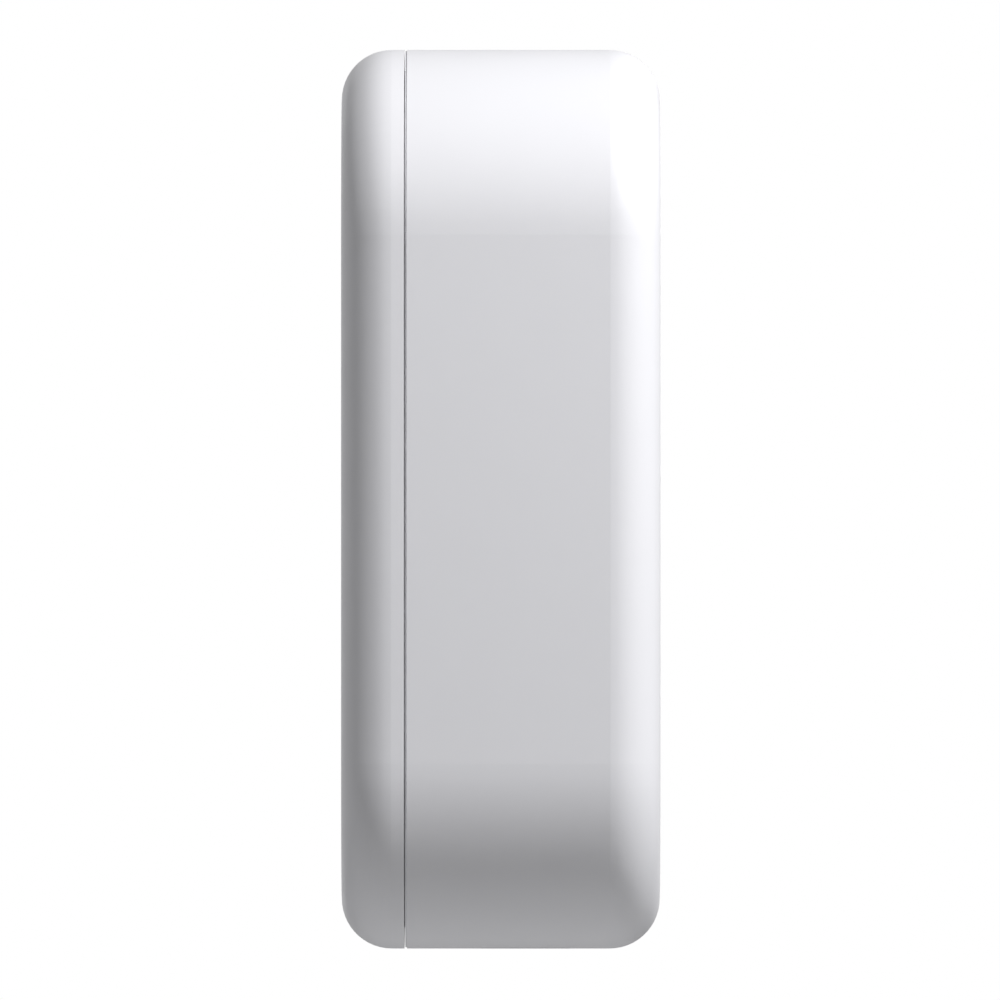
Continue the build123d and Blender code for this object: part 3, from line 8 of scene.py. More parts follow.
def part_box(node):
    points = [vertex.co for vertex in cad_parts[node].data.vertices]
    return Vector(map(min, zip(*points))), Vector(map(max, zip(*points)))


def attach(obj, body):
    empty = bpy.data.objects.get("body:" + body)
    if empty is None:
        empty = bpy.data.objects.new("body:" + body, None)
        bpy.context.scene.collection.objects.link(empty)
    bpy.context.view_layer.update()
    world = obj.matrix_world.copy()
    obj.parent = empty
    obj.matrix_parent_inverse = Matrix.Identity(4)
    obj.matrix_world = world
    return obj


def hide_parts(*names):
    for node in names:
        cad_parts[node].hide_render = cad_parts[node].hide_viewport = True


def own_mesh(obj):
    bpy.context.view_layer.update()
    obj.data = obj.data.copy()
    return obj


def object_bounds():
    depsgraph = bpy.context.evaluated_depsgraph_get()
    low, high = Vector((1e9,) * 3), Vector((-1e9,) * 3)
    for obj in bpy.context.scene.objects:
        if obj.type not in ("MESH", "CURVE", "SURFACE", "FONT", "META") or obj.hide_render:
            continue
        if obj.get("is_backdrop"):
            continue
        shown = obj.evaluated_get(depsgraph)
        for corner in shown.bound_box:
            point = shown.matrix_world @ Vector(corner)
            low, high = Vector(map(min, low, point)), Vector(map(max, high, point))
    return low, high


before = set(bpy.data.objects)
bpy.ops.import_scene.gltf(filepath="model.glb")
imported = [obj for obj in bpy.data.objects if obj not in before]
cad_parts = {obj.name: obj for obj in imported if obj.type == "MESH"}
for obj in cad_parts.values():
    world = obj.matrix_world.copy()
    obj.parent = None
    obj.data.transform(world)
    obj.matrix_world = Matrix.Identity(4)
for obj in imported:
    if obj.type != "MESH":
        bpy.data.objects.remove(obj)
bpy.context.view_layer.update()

bpy.ops.object.select_all(action="DESELECT")

# A battery video doorbell, seen from its side. +Z is up, the front faces -Y and the wall
# is at y = 0. Lengths are in metres, and MM turns millimetres into them. Points nearer to each
# other than HAIR are taken as one.
MM = 0.001
HAIR = 0.001 * MM


# ---------------------------------------------------------------- finishes
def linear(hex_colour):
    """An sRGB hex colour as the linear colour that a socket takes."""
    parts = [int(hex_colour[i:i + 2], 16) / 255 for i in (1, 3, 5)]
    return [p / 12.92 if p <= 0.04045 else ((p + 0.055) / 1.055) ** 2.4 for p in parts] + [1.0]


def per_mm(size):
    """Scale of a texture whose features are this many millimetres across."""
    return 1 / (size * MM)


def waves_per_mm(spacing):
    """Scale of a wave texture whose waves are this many millimetres apart."""
    return per_mm(spacing) * math.pi / 10


def add_node(tree, kind, inputs, **settings):
    """Adds a node with its own settings, and a value or a link for each socket in inputs."""
    made = tree.nodes.new(kind)
    for name, value in settings.items():
        setattr(made, name, value)
    for socket, value in inputs.items():
        if isinstance(value, bpy.types.NodeSocket):
            tree.links.new(value, made.inputs[socket])
        else:
            made.inputs[socket].default_value = value
    return made


def new_finish(name, colour, roughness, **more):
    """A finish with one Principled shader. Returns the material, its tree, the shader and the
    object coordinates that its patterns read."""
    material = bpy.data.materials.new(name)
    material.use_nodes = True
    tree = material.node_tree
    shader = tree.nodes["Principled BSDF"]
    shader.inputs["Base Color"].default_value = linear(colour)
    shader.inputs["Roughness"].default_value = roughness
    for socket, value in more.items():
        shader.inputs[socket.replace("_", " ")].default_value = value
    place = add_node(tree, "ShaderNodeTexCoord", {}).outputs["Object"]
    return material, tree, shader, place


def grain(tree, shader, place, size, height, detail=2.0):
    """Raised grain of this size and height in millimetres, all over the surface."""
    noise = add_node(tree, "ShaderNodeTexNoise",
                     {"Vector": place, "Scale": per_mm(size), "Detail": detail, "Roughness": 0.55})
    bump = add_node(tree, "ShaderNodeBump",
                    {"Height": noise.outputs["Fac"], "Distance": height * MM, "Strength": 1.0})
    tree.links.new(bump.outputs["Normal"], shader.inputs["Normal"])
    return noise


def vary_roughness(tree, shader, place, size, low, high):
    """Roughness that wanders between low and high over patches of this size in millimetres."""
    noise = add_node(tree, "ShaderNodeTexNoise",
                     {"Vector": place, "Scale": per_mm(size), "Detail": 3.0})
    ramp = add_node(tree, "ShaderNodeMapRange",
                    {"Value": noise.outputs["Fac"], "From Min": 0.35, "From Max": 0.65,
                     "To Min": low, "To Max": high})
    tree.links.new(ramp.outputs["Result"], shader.inputs["Roughness"])
    return noise


def tint(tree, shader, factor, dark, light):
    """Colour that goes from dark to light with factor."""
    mix = add_node(tree, "ShaderNodeMix", {"Factor": factor}, data_type="RGBA")
    mix.inputs[6].default_value = linear(dark)
    mix.inputs[7].default_value = linear(light)
    tree.links.new(mix.outputs[2], shader.inputs["Base Color"])


def grained_with_painted_shade(name, dark, light, roughness, size, height, detail=2.0, **more):
    """A finish with raised grain of this size and height in millimetres, its colour painted dark in
    the hollows as shade and light on the crests as highlight."""
    material, tree, shader, place = new_finish(name, dark, roughness, **more)
    noise = grain(tree, shader, place, size, height, detail)
    # Painted shade and highlight: the colour follows the grain's height, dark in hollows, light on crests
    tint(tree, shader, noise.outputs["Fac"], dark, light)
    return material


def smooth(name, colour, size, low, high, light=None, **more):
    """A smooth finish. Its roughness wanders from low to high, and its colour as far as light if
    there is one, over patches of this size in millimetres."""
    material, tree, shader, place = new_finish(name, colour, low, **more)
    noise = vary_roughness(tree, shader, place, size, low, high)
    if light:
        tint(tree, shader, noise.outputs["Fac"], colour, light)
    return material


def satin_white_abs():
    """Case: white ABS from a fine-blasted mould. A soft, even sheen with no visible grain."""
    material, tree, shader, place = new_finish("satin white ABS", "#ECECF0", 0.4, IOR=1.53)
    vary_roughness(tree, shader, place, 6.0, 0.37, 0.43)
    grain(tree, shader, place, 0.12, 0.0006)
    return material


def turned_black_aluminium():
    """Lens metal: black anodised aluminium with the fine rings of a lathe tool. They are drawn
    0.4 mm apart, coarser than a tool leaves them, so that they show."""
    material, tree, shader, place = new_finish("black anodised aluminium", "#26272A", 0.34, Metallic=1.0)
    centre = add_node(tree, "ShaderNodeMapping",
                      {"Vector": place, "Location": (0.0, 0.0, -lens_height)})
    rings = add_node(tree, "ShaderNodeTexWave",
                     {"Vector": centre.outputs["Vector"], "Scale": waves_per_mm(0.4),
                      "Distortion": 0.4, "Detail": 1.0},
                     wave_type="RINGS", rings_direction="Y")
    bump = add_node(tree, "ShaderNodeBump",
                    {"Height": rings.outputs["Fac"], "Distance": 0.002 * MM, "Strength": 1.0})
    tree.links.new(bump.outputs["Normal"], shader.inputs["Normal"])
    tint(tree, shader, rings.outputs["Fac"], "#232427", "#2B2C30")
    return material


def solder_mask_board():
    """Circuit boards: glass-epoxy board with green solder mask, and copper tracks that show
    through it in rows 1.6 mm apart."""
    material, tree, shader, place = new_finish("green solder mask", "#123F2A", 0.3, IOR=1.55)
    facing = add_node(tree, "ShaderNodeMapping",
                      {"Vector": place, "Rotation": (math.radians(90), 0.0, 0.0)})
    row = 0.5
    tracks = add_node(tree, "ShaderNodeTexBrick",
                      {"Vector": facing.outputs["Vector"], "Scale": row * per_mm(1.6),
                       "Mortar Size": 0.045, "Mortar Smooth": 0.2, "Brick Width": 1.7, "Row Height": row,
                       "Color1": (0.0, 0.0, 0.0, 1.0), "Color2": (0.0, 0.0, 0.0, 1.0),
                       "Mortar": (1.0, 1.0, 1.0, 1.0)}, offset=0.37, offset_frequency=3)
    tint(tree, shader, tracks.outputs["Color"], "#103826", "#2C6B45")
    bump = add_node(tree, "ShaderNodeBump",
                    {"Height": tracks.outputs["Fac"], "Distance": 0.03 * MM, "Strength": 0.6})
    tree.links.new(bump.outputs["Normal"], shader.inputs["Normal"])
    return material


def rolled_metal(name, colour, roughness, lines=0.08):
    """Sheet metal with rolling lines along its length, about this many millimetres apart."""
    material, tree, shader, place = new_finish(name, colour, roughness, Metallic=1.0)
    stretched = add_node(tree, "ShaderNodeMapping", {"Vector": place, "Scale": (1.0, 1.0, 0.04)})
    noise = add_node(tree, "ShaderNodeTexNoise",
                     {"Vector": stretched.outputs["Vector"], "Scale": per_mm(lines), "Detail": 2.0})
    ramp = add_node(tree, "ShaderNodeMapRange",
                    {"Value": noise.outputs["Fac"], "From Min": 0.3, "From Max": 0.7,
                     "To Min": roughness - 0.06, "To Max": roughness + 0.08})
    tree.links.new(ramp.outputs["Result"], shader.inputs["Roughness"])
    bump = add_node(tree, "ShaderNodeBump",
                    {"Height": noise.outputs["Fac"], "Distance": 0.001 * MM, "Strength": 1.0})
    tree.links.new(bump.outputs["Normal"], shader.inputs["Normal"])
    return material


def nickel_plate():
    """Magnets: bright nickel plate over pressed powder, a mirror with a slight ripple."""
    material, tree, shader, place = new_finish("bright nickel plate", "#CFC9BE", 0.14, Metallic=1.0)
    grain(tree, shader, place, 0.8, 0.004)
    vary_roughness(tree, shader, place, 1.5, 0.1, 0.2)
    return material


def closed_cell_foam():
    """Foam pads: charcoal closed-cell foam, its cut cells about half a millimetre across, with painted shade
    in each cell's hollow.
    """
    material, tree, shader, place = new_finish("charcoal closed-cell foam", "#2A2B2D", 0.95, IOR=1.4)
    cells = add_node(tree, "ShaderNodeTexVoronoi", {"Vector": place, "Scale": per_mm(0.5)})
    bump = add_node(tree, "ShaderNodeBump",
                    {"Height": cells.outputs["Distance"], "Distance": 0.15 * MM, "Strength": 0.8})
    tree.links.new(bump.outputs["Normal"], shader.inputs["Normal"])
    # Painted shade: dark at each cell's middle, where the bump sinks it, lighter at the cell walls
    tint(tree, shader, cells.outputs["Distance"], "#18191A", "#3A3B3E")
    return material


def shrink_sleeve(name, colour, light):
    """Cell wrap: PVC heat-shrink sleeve, drawn tight, with fine lines along its length."""
    material, tree, shader, place = new_finish(name, colour, 0.28, IOR=1.54)
    stretched = add_node(tree, "ShaderNodeMapping", {"Vector": place, "Scale": (1.0, 1.0, 0.05)})
    noise = add_node(tree, "ShaderNodeTexNoise",
                     {"Vector": stretched.outputs["Vector"], "Scale": per_mm(0.6), "Detail": 2.0})
    bump = add_node(tree, "ShaderNodeBump",
                    {"Height": noise.outputs["Fac"], "Distance": 0.01 * MM, "Strength": 1.0})
    tree.links.new(bump.outputs["Normal"], shader.inputs["Normal"])
    tint(tree, shader, noise.outputs["Fac"], colour, light)
    return material


def polyimide_film():
    """Flexible cable and antenna: amber polyimide over copper tracks half a millimetre apart."""
    material, tree, shader, place = new_finish("amber polyimide", "#B4661A", 0.25, IOR=1.7)
    tracks = add_node(tree, "ShaderNodeTexWave",
                      {"Vector": place, "Scale": waves_per_mm(0.5), "Distortion": 0.0},
                      wave_type="BANDS", bands_direction="Z")
    edge = add_node(tree, "ShaderNodeMapRange",
                    {"Value": tracks.outputs["Fac"], "From Min": 0.45, "From Max": 0.55})
    tint(tree, shader, edge.outputs["Result"], "#9A5214", "#D08A3C")
    bump = add_node(tree, "ShaderNodeBump",
                    {"Height": edge.outputs["Result"], "Distance": 0.02 * MM, "Strength": 1.0})
    tree.links.new(bump.outputs["Normal"], shader.inputs["Normal"])
    return material


lens_low, lens_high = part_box("lens_bezel")
lens_height = (lens_low.z + lens_high.z) / 2

milky = {"Subsurface_Radius": (1.0, 1.0, 1.0)}
silicone = {"IOR": 1.45, "Sheen_Weight": 0.15, "Sheen_Roughness": 0.4}
finishes = {
    "white_case": satin_white_abs(),
    # Rear cover: light grey ABS with a coarser spark-eroded grain, duller than the case
    "cover_grey": grained_with_painted_shade("spark-eroded grey ABS", "#A9ACB1", "#BFC2C6", 0.55, 0.25, 0.01, IOR=1.53),
    # Bell button: the case's white, moulded in a smoother cavity, so it shines a little more
    "button_white": smooth("polished white ABS", "#F0F0F1", 4.0, 0.23, 0.29, IOR=1.53),
    # Window: gloss black PMMA, which mirrors the room with faint polishing marks
    "window_black": smooth("gloss black PMMA", "#070708", 3.0, 0.035, 0.07, IOR=1.49,
                           Coat_Weight=0.4, Coat_Roughness=0.02),
    # Windows of the infrared lamps: near-black acrylic that is deep red in the light
    "ir_acrylic": smooth("infrared-pass acrylic", "#160306", 1.0, 0.06, 0.11, "#24070C", IOR=1.49),
    # Light ring: opal polycarbonate, milky with a little depth below its surface
    "light_guide": smooth("opal polycarbonate", "#E4E8EC", 2.0, 0.3, 0.4, IOR=1.58,
                          Subsurface_Weight=0.35, Subsurface_Scale=0.8 * MM, **milky),
    # Motion lens: thin milky polyethylene, softer and greyer than the case
    "pir_film": grained_with_painted_shade("milky polyethylene", "#D3D5D7", "#E0E2E3", 0.42, 0.3, 0.004, IOR=1.51,
                        Subsurface_Weight=0.25, Subsurface_Scale=0.5 * MM, **milky),
    "lens_metal": turned_black_aluminium(),
    # Lenses and their cover: clear glass with a thin coating that tints its reflections
    "optical_glass": smooth("coated optical glass", "#F7FAFF", 2.0, 0.0, 0.015, IOR=1.52,
                            Transmission_Weight=1.0, Thin_Film_Thickness=320.0, Thin_Film_IOR=1.38),
    # Lens holder: black glass-filled nylon, dull, with painted shade in its grain's hollows and painted
    # highlight on the crests
    "holder_black": grained_with_painted_shade("black glass-filled nylon", "#131415", "#252627", 0.6, 0.18, 0.008, 4.0,
                            IOR=1.53),
    "board": solder_mask_board(),
    # Chips, switches and connectors: black epoxy moulding compound, dull, with painted shade in its fine
    # grain's hollows and painted highlight on the crests
    "chip_black": grained_with_painted_shade("black epoxy compound", "#1A1B1D", "#292A2C", 0.55, 0.08, 0.003, 3.0,
                          IOR=1.55),
    "shield_can": rolled_metal("tinned steel shield", "#C6C8C6", 0.28),
    # Screws and spring: zinc-plated steel, bright with a faint blue cast
    "screw_steel": smooth("bright zinc on steel", "#C3C8CE", 0.4, 0.18, 0.32, Metallic=1.0),
    "strike_steel": rolled_metal("nickel-plated steel sheet", "#B9BDC2", 0.34, 0.15),
    "magnet_nickel": nickel_plate(),
    # Gaskets and the port's cover: moulded silicone, dull, finely blasted and soft at its edges
    "gasket_rubber": grained_with_painted_shade("black silicone rubber", "#1B1B1C", "#262627", 0.75, 0.1, 0.004, **silicone),
    "plug_silicone": grained_with_painted_shade("grey moulded silicone", "#85888D", "#94979C", 0.55, 0.15, 0.004, **silicone),
    "foam": closed_cell_foam(),
    "cell_wrap": shrink_sleeve("blue shrink sleeve", "#1E4F8C", "#2A62A4"),
    # Battery leads: extruded PVC insulation, slightly dusty
    "red_lead": smooth("red PVC insulation", "#A81C18", 0.5, 0.38, 0.52, "#BE2B24", IOR=1.43),
    "black_lead": smooth("black PVC insulation", "#1A1A1B", 0.5, 0.38, 0.52, "#272729", IOR=1.43),
    # Lamps: clear cast epoxy over a pale phosphor
    "led_clear": smooth("clear cast epoxy", "#F2EFD8", 0.5, 0.08, 0.16, IOR=1.53,
                        Transmission_Weight=0.5),
    # Plugs and sockets: unfilled nylon in its natural cream
    "connector_nylon": grained_with_painted_shade("natural nylon", "#DDD6C2", "#E9E4D5", 0.4, 0.2, 0.003, IOR=1.53),
    "polyimide": polyimide_film(),
    # Contacts: hard gold flash on copper alloy, warm and bright
    "contact_gold": smooth("gold flash", "#E2BC68", 0.3, 0.15, 0.28, Metallic=1.0),
    # Meshes over the speaker and microphone: black polyester thread, coated against water
    "acoustic_mesh": grained_with_painted_shade("coated black polyester", "#141516", "#222326", 0.5, 0.05, 0.002,
                             IOR=1.57, Sheen_Weight=0.2),
    # Speaker cone: pressed black polyester film with a soft shine
    "cone_film": smooth("pressed polyester film", "#1E1F22", 1.0, 0.24, 0.36, "#2B2C30", IOR=1.6),
}

for cad_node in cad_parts.values():
    for slot in cad_node.material_slots:
        slot.material = finishes[slot.material.name.split(".")[0]]


# ---------------------------------------------------------------- making pieces
TO_FRONT = Vector((0.0, -1.0, 0.0))
TO_WALL = Vector((0.0, 1.0, 0.0))
UPWARDS = Vector((0.0, 0.0, 1.0))


def middle_of(node_name):
    """Middle of a CAD node's box."""
    lowest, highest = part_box(node_name)
    return (lowest + highest) / 2


def edit(piece):
    """Opens a piece in edit mode with nothing selected."""
    bpy.ops.object.select_all(action="DESELECT")
    piece.select_set(True)
    bpy.context.view_layer.objects.active = piece
    bpy.ops.object.mode_set(mode="EDIT")
    bpy.ops.mesh.select_mode(type="VERT")
    bpy.ops.mesh.select_all(action="DESELECT")


def choose_faces(piece, wanted):
    """Selects the faces whose middle and normal wanted() accepts."""
    bpy.ops.mesh.select_mode(type="FACE")
    bpy.ops.mesh.select_all(action="DESELECT")
    mesh = bmesh.from_edit_mesh(piece.data)
    for face in mesh.faces:
        face.select_set(bool(wanted(face.calc_center_median(), face.normal)))
    bmesh.update_edit_mesh(piece.data)


def choose_edges(piece, wanted):
    """Selects the edges whose two ends wanted() accepts."""
    bpy.ops.mesh.select_mode(type="EDGE")
    bpy.ops.mesh.select_all(action="DESELECT")
    mesh = bmesh.from_edit_mesh(piece.data)
    for edge in mesh.edges:
        edge.select_set(bool(wanted(edge.verts[0].co, edge.verts[1].co)))
    bmesh.update_edit_mesh(piece.data)


def close_up(piece, angle=30):
    """Leaves edit mode with normals outwards, and shades smooth where edges are softer than angle."""
    bpy.ops.mesh.select_all(action="SELECT")
    bpy.ops.mesh.remove_doubles(threshold=HAIR / 2)
    bpy.ops.mesh.normals_make_consistent(inside=False)
    bpy.ops.object.mode_set(mode="OBJECT")
    bpy.ops.object.shade_smooth_by_angle(angle=math.radians(angle))


def turned(name, centre, axis, profile, ring=False, sides=64, angle=30):
    """A piece turned on a lathe. The profile's points are (radius, distance along the axis from
    the centre) in millimetres. It runs to the axis at both ends, or is a ring joined to itself."""
    points = [point for point in profile if point[0] > 0]
    flat = axis.to_track_quat("Z", "Y").to_euler()
    first_radius, first_rise = points[0]
    bpy.ops.object.select_all(action="DESELECT")
    bpy.ops.mesh.primitive_circle_add(
        vertices=sides, radius=first_radius * MM, location=centre + axis * first_rise * MM,
        rotation=flat)
    piece = bpy.context.object
    piece.name = name
    bpy.ops.object.transform_apply(location=True, rotation=True, scale=True)
    edit(piece)
    bpy.ops.mesh.select_all(action="SELECT")
    if not ring:
        bpy.ops.mesh.extrude_region_move(
            TRANSFORM_OT_translate={"value": axis * (profile[0][1] - first_rise) * MM})
        bpy.ops.mesh.merge(type="CENTER")
        bpy.ops.mesh.select_all(action="DESELECT")
        bpy.ops.mesh.select_non_manifold()
    squeeze = Vector((1.0, 1.0, 1.0)) - Vector([abs(part) for part in axis])
    for (radius, rise), (next_radius, next_rise) in zip(points, points[1:]):
        bpy.ops.mesh.extrude_region_move(
            TRANSFORM_OT_translate={"value": axis * (next_rise - rise) * MM})
        ratio = next_radius / radius
        bpy.ops.transform.resize(
            value=[1.0 + (ratio - 1.0) * part for part in squeeze],
            center_override=centre + axis * next_rise * MM)
    if ring:
        bpy.ops.mesh.select_all(action="DESELECT")
        bpy.ops.mesh.select_non_manifold()
        bpy.ops.mesh.bridge_edge_loops()
    else:
        bpy.ops.mesh.extrude_region_move(
            TRANSFORM_OT_translate={"value": axis * (profile[-1][1] - points[-1][1]) * MM})
        bpy.ops.mesh.merge(type="CENTER")
    close_up(piece, angle)
    return piece


def slab(name, lowest, highest, corner, edge, axis=1, steps=6):
    """A block between two corner points, with its corners across the axis rounded by corner and
    its rims by edge, both in millimetres."""
    size = highest - lowest
    bpy.ops.object.select_all(action="DESELECT")
    bpy.ops.mesh.primitive_cube_add(size=1.0, location=(lowest + highest) / 2)
    piece = bpy.context.object
    piece.name = name
    piece.scale = size
    bpy.ops.object.transform_apply(location=True, rotation=True, scale=True)
    edit(piece)
    choose_edges(piece, lambda a, b: abs(a[axis] - b[axis]) > HAIR)
    bpy.ops.mesh.bevel(offset=corner * MM, segments=steps, affect="EDGES")
    for rim in (lowest[axis], highest[axis]):
        choose_edges(piece, lambda a, b: abs(a[axis] - rim) < HAIR and abs(b[axis] - rim) < HAIR)
        bpy.ops.mesh.bevel(offset=edge * MM, segments=3, affect="EDGES")
    close_up(piece, 40)
    return piece


def dress(piece, slot_name, body, *cad_nodes):
    """Gives a piece its finish and its body, and hides the CAD nodes that it stands for."""
    piece.data.materials.clear()
    piece.data.materials.append(finishes[slot_name])
    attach(piece, body)
    if cad_nodes:
        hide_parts(*cad_nodes)


def copied(piece, name, shift):
    """A copy of a piece with its own mesh, moved by shift."""
    twin = piece.copy()
    twin.data = piece.data.copy()
    twin.name = name
    twin.data.transform(Matrix.Translation(shift))
    bpy.context.scene.collection.objects.link(twin)
    return twin


def joined(name, pieces):
    """Several pieces as one."""
    bpy.ops.object.select_all(action="DESELECT")
    for piece in pieces:
        piece.select_set(True)
    bpy.context.view_layer.objects.active = pieces[0]
    if len(pieces) > 1:
        bpy.ops.object.join()
    pieces[0].name = name
    return pieces[0]


def sink_panel(piece, wanted, border, depth, direction):
    """Insets the chosen faces by border and pushes their middle by depth, both in millimetres."""
    edit(piece)
    choose_faces(piece, wanted)
    bpy.ops.mesh.inset(thickness=border * MM, depth=0.0)
    bpy.ops.mesh.extrude_region_move(TRANSFORM_OT_translate={"value": direction * depth * MM})
    close_up(piece, 40)


# ---------------------------------------------------------------- motion lens
pir_low, pir_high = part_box("pir_lens")
pir_centre = Vector((0.0, 0.0, (pir_low.z + pir_high.z) / 2))
PIR_CROWN = -pir_low.y / MM
PIR_BACK = -pir_high.y / MM
PIR_DOME_RADIUS = 5.4
PIR_DOME_DROP = 0.22
PIR_ZONE = 0.45
PIR_ZONE_STEP = 0.06


def pir_dome(radius):
    """Depth of the motion lens's dome at this distance from its middle."""
    return PIR_CROWN - PIR_DOME_DROP * (radius / PIR_DOME_RADIUS) ** 2


pir_profile = [(0, PIR_CROWN - 0.6), (4.9, PIR_CROWN - 0.85), (4.9, PIR_BACK), (6.2, PIR_BACK),
               (6.2, PIR_BACK + 0.6), (5.5, PIR_BACK + 0.6), (5.5, PIR_CROWN - 0.4)]
zone = PIR_DOME_RADIUS
while zone > PIR_ZONE:
    pir_profile.append((zone, pir_dome(zone) - PIR_ZONE_STEP))
    pir_profile.append((zone - 0.8 * PIR_ZONE, pir_dome(zone - 0.8 * PIR_ZONE)))
    zone -= PIR_ZONE
pir_profile.append((0, PIR_CROWN))
pir_lens = turned("pir_lens_zones", pir_centre, TO_FRONT, pir_profile, sides=96, angle=12)
dress(pir_lens, "pir_film", "unit", "pir_lens")

pir_window = slab("pir_sensor_filter", pir_centre + Vector((-2.2, -35.02, -1.6)) * MM,
                  pir_centre + Vector((2.2, -34.9, 1.6)) * MM, 0.3, 0.03)
dress(pir_window, "ir_acrylic", "unit")
pir_can = turned("pir_sensor_can", pir_centre, TO_FRONT,
                 [(0, 32.42), (4.55, 32.42), (4.6, 32.5), (4.6, 32.7), (4.5, 32.8), (4.2, 32.85),
                  (4.1, 32.95), (4.1, 34.6), (3.98, 34.85), (3.7, 34.97), (0, 34.97)])
dress(pir_can, "shield_can", "unit", "pir_sensor")

# ---------------------------------------------------------------- camera
lens_centre = Vector((0.0, 0.0, lens_height))
bezel = turned("lens_bezel_ring", lens_centre, TO_FRONT,
               [(6.9, 35.4), (9.6, 35.4), (9.6, 36.1), (9.0, 36.1), (9.0, 37.28), (8.95, 37.38),
                (8.83, 37.45), (8.4, 37.45), (8.3, 37.42), (8.12, 37.3), (8.1, 37.26), (7.9, 37.16),
                (7.88, 37.12), (7.7, 37.02), (7.6, 36.98), (7.6, 36.3), (6.9, 36.3)],
               ring=True, sides=128, angle=25)
dress(bezel, "lens_metal", "unit", "lens_bezel")

THREAD_RADIUS = 5.95
THREAD_PITCH = 0.5
BORE_RADIUS = 4.4
BAFFLE_PITCH = 0.6
barrel_profile = [(3.6, 23.4), (5.7, 23.4), (THREAD_RADIUS, 23.65)]
thread = 24.0
while thread < 29.4:
    barrel_profile += [(THREAD_RADIUS, thread), (5.8, thread + 0.15), (5.8, thread + 0.25),
                       (THREAD_RADIUS, thread + 0.4)]
    thread += THREAD_PITCH
barrel_profile += [(THREAD_RADIUS, 30.0), (7.15, 30.0), (7.3, 30.15), (7.3, 34.4), (7.1, 34.6),
                   (6.2, 34.6), (6.0, 34.4), (6.0, 32.6), (BORE_RADIUS, 32.6)]
baffle = 32.2
while baffle > 26.0:
    barrel_profile += [(BORE_RADIUS, baffle), (4.52, baffle - 0.2), (BORE_RADIUS, baffle - 0.4)]
    baffle -= BAFFLE_PITCH
barrel_profile += [(BORE_RADIUS, 25.4), (3.6, 25.4)]
barrel = turned("lens_barrel_threaded", lens_centre, TO_FRONT, barrel_profile,
                ring=True, sides=96, angle=25)
dress(barrel, "lens_metal", "unit", "lens_barrel")

foam_ring = turned("lens_foam_ring", lens_centre, TO_FRONT,
                   [(8.1, 32.45), (8.25, 32.4), (8.75, 32.4), (8.87, 32.5), (8.9, 33.2), (8.9, 34.6),
                    (8.87, 35.3), (8.75, 35.4), (8.25, 35.4), (8.12, 35.3), (8.06, 34.6), (8.06, 33.2)],
                   ring=True, sides=96, angle=60)
dress(foam_ring, "foam", "unit", "lens_foam")

# ---------------------------------------------------------------- screws and magnets
SOCKET_SIDES = 6
SOCKET_RADIUS = 0.8
SOCKET_DEPTH = 0.5
SCREW_PITCH = 0.4
ROOT = 0.84


def screw(name, head_r, head_h, shaft_r, length, centre, axis):
    """A dome-headed screw with a hexagon socket. The centre is under its head, and the axis
    points along its shaft. The thread's root is the share ROOT of the shaft."""
    socket_floor = -head_h + SOCKET_DEPTH
    profile = [(0, socket_floor), (SOCKET_RADIUS, socket_floor), (SOCKET_RADIUS, -head_h + 0.05),
               (0.86, -head_h), (head_r * 0.7, -head_h + 0.06), (head_r * 0.9, -head_h + 0.2),
               (head_r, -head_h * 0.45), (head_r, -0.06), (head_r - 0.06, 0), (shaft_r, 0)]
    rise = SCREW_PITCH
    while rise < length - 0.9:
        profile += [(shaft_r, rise), (shaft_r * ROOT, rise + 0.12), (shaft_r * ROOT, rise + 0.2),
                    (shaft_r, rise + 0.32)]
        rise += SCREW_PITCH
    profile += [(shaft_r * ROOT, length - 0.5), (shaft_r * 0.4, length), (0, length)]
    piece = turned(name, centre, axis, profile, sides=48, angle=28)
    across = axis.orthogonal().normalized()
    other = axis.cross(across)
    facet = 2 * math.pi / SOCKET_SIDES
    for point in piece.data.vertices:
        arm = point.co - centre
        rise = arm.dot(axis) / MM
        arm = arm - axis * arm.dot(axis)
        if abs(arm.length / MM - SOCKET_RADIUS) < 0.03 and rise < socket_floor + 0.01:
            turn = math.atan2(arm.dot(other), arm.dot(across)) % facet
            point.co += arm * (math.cos(facet / 2) / math.cos(turn - facet / 2) * 1.05 - 1)
    return piece


def screws(name, cad_node, head_r, head_h, shaft_r, length, seat, axis, places):
    """A set of alike screws at places (x, z) in millimetres, heads seated at the depth seat."""
    first = Vector((places[0][0], -seat, places[0][1])) * MM
    made = [screw(name, head_r, head_h, shaft_r, length, first, axis)]
    for i, (x, z) in enumerate(places[1:]):
        made.append(copied(made[0], f"{name}_{i + 2}", Vector((x, -seat, z)) * MM - first))
    dress(joined(name, made), "screw_steel", "unit", cad_node)


cover_low, cover_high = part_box("rear_screws")
HEAD_RADIUS = 1.9
side_reach = cover_high.x / MM - HEAD_RADIUS
end_x = side_reach * math.cos(math.radians(45))
end_z = cover_high.z / MM - HEAD_RADIUS
screws("rear_cover_screws", "rear_screws", HEAD_RADIUS, 0.8, 0.9, 9.0, seat=11.0, axis=TO_FRONT,
       places=[(side_reach, 0), (-side_reach, 0), (end_x, end_z), (-end_x, end_z), (end_x, -end_z),
               (-end_x, -end_z)])
board_low, board_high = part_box("board_screws")
board_x = board_high.x / MM - HEAD_RADIUS
screws("main_board_screws", "board_screws", HEAD_RADIUS, 1.0, 0.8, 4.0, seat=31.4, axis=TO_FRONT,
       places=[(x, z) for x in (-board_x, board_x)
               for z in (board_high.z / MM - HEAD_RADIUS, board_low.z / MM + HEAD_RADIUS)])
CAMERA_HEAD = 1.4
camera_low, camera_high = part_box("camera_screws")
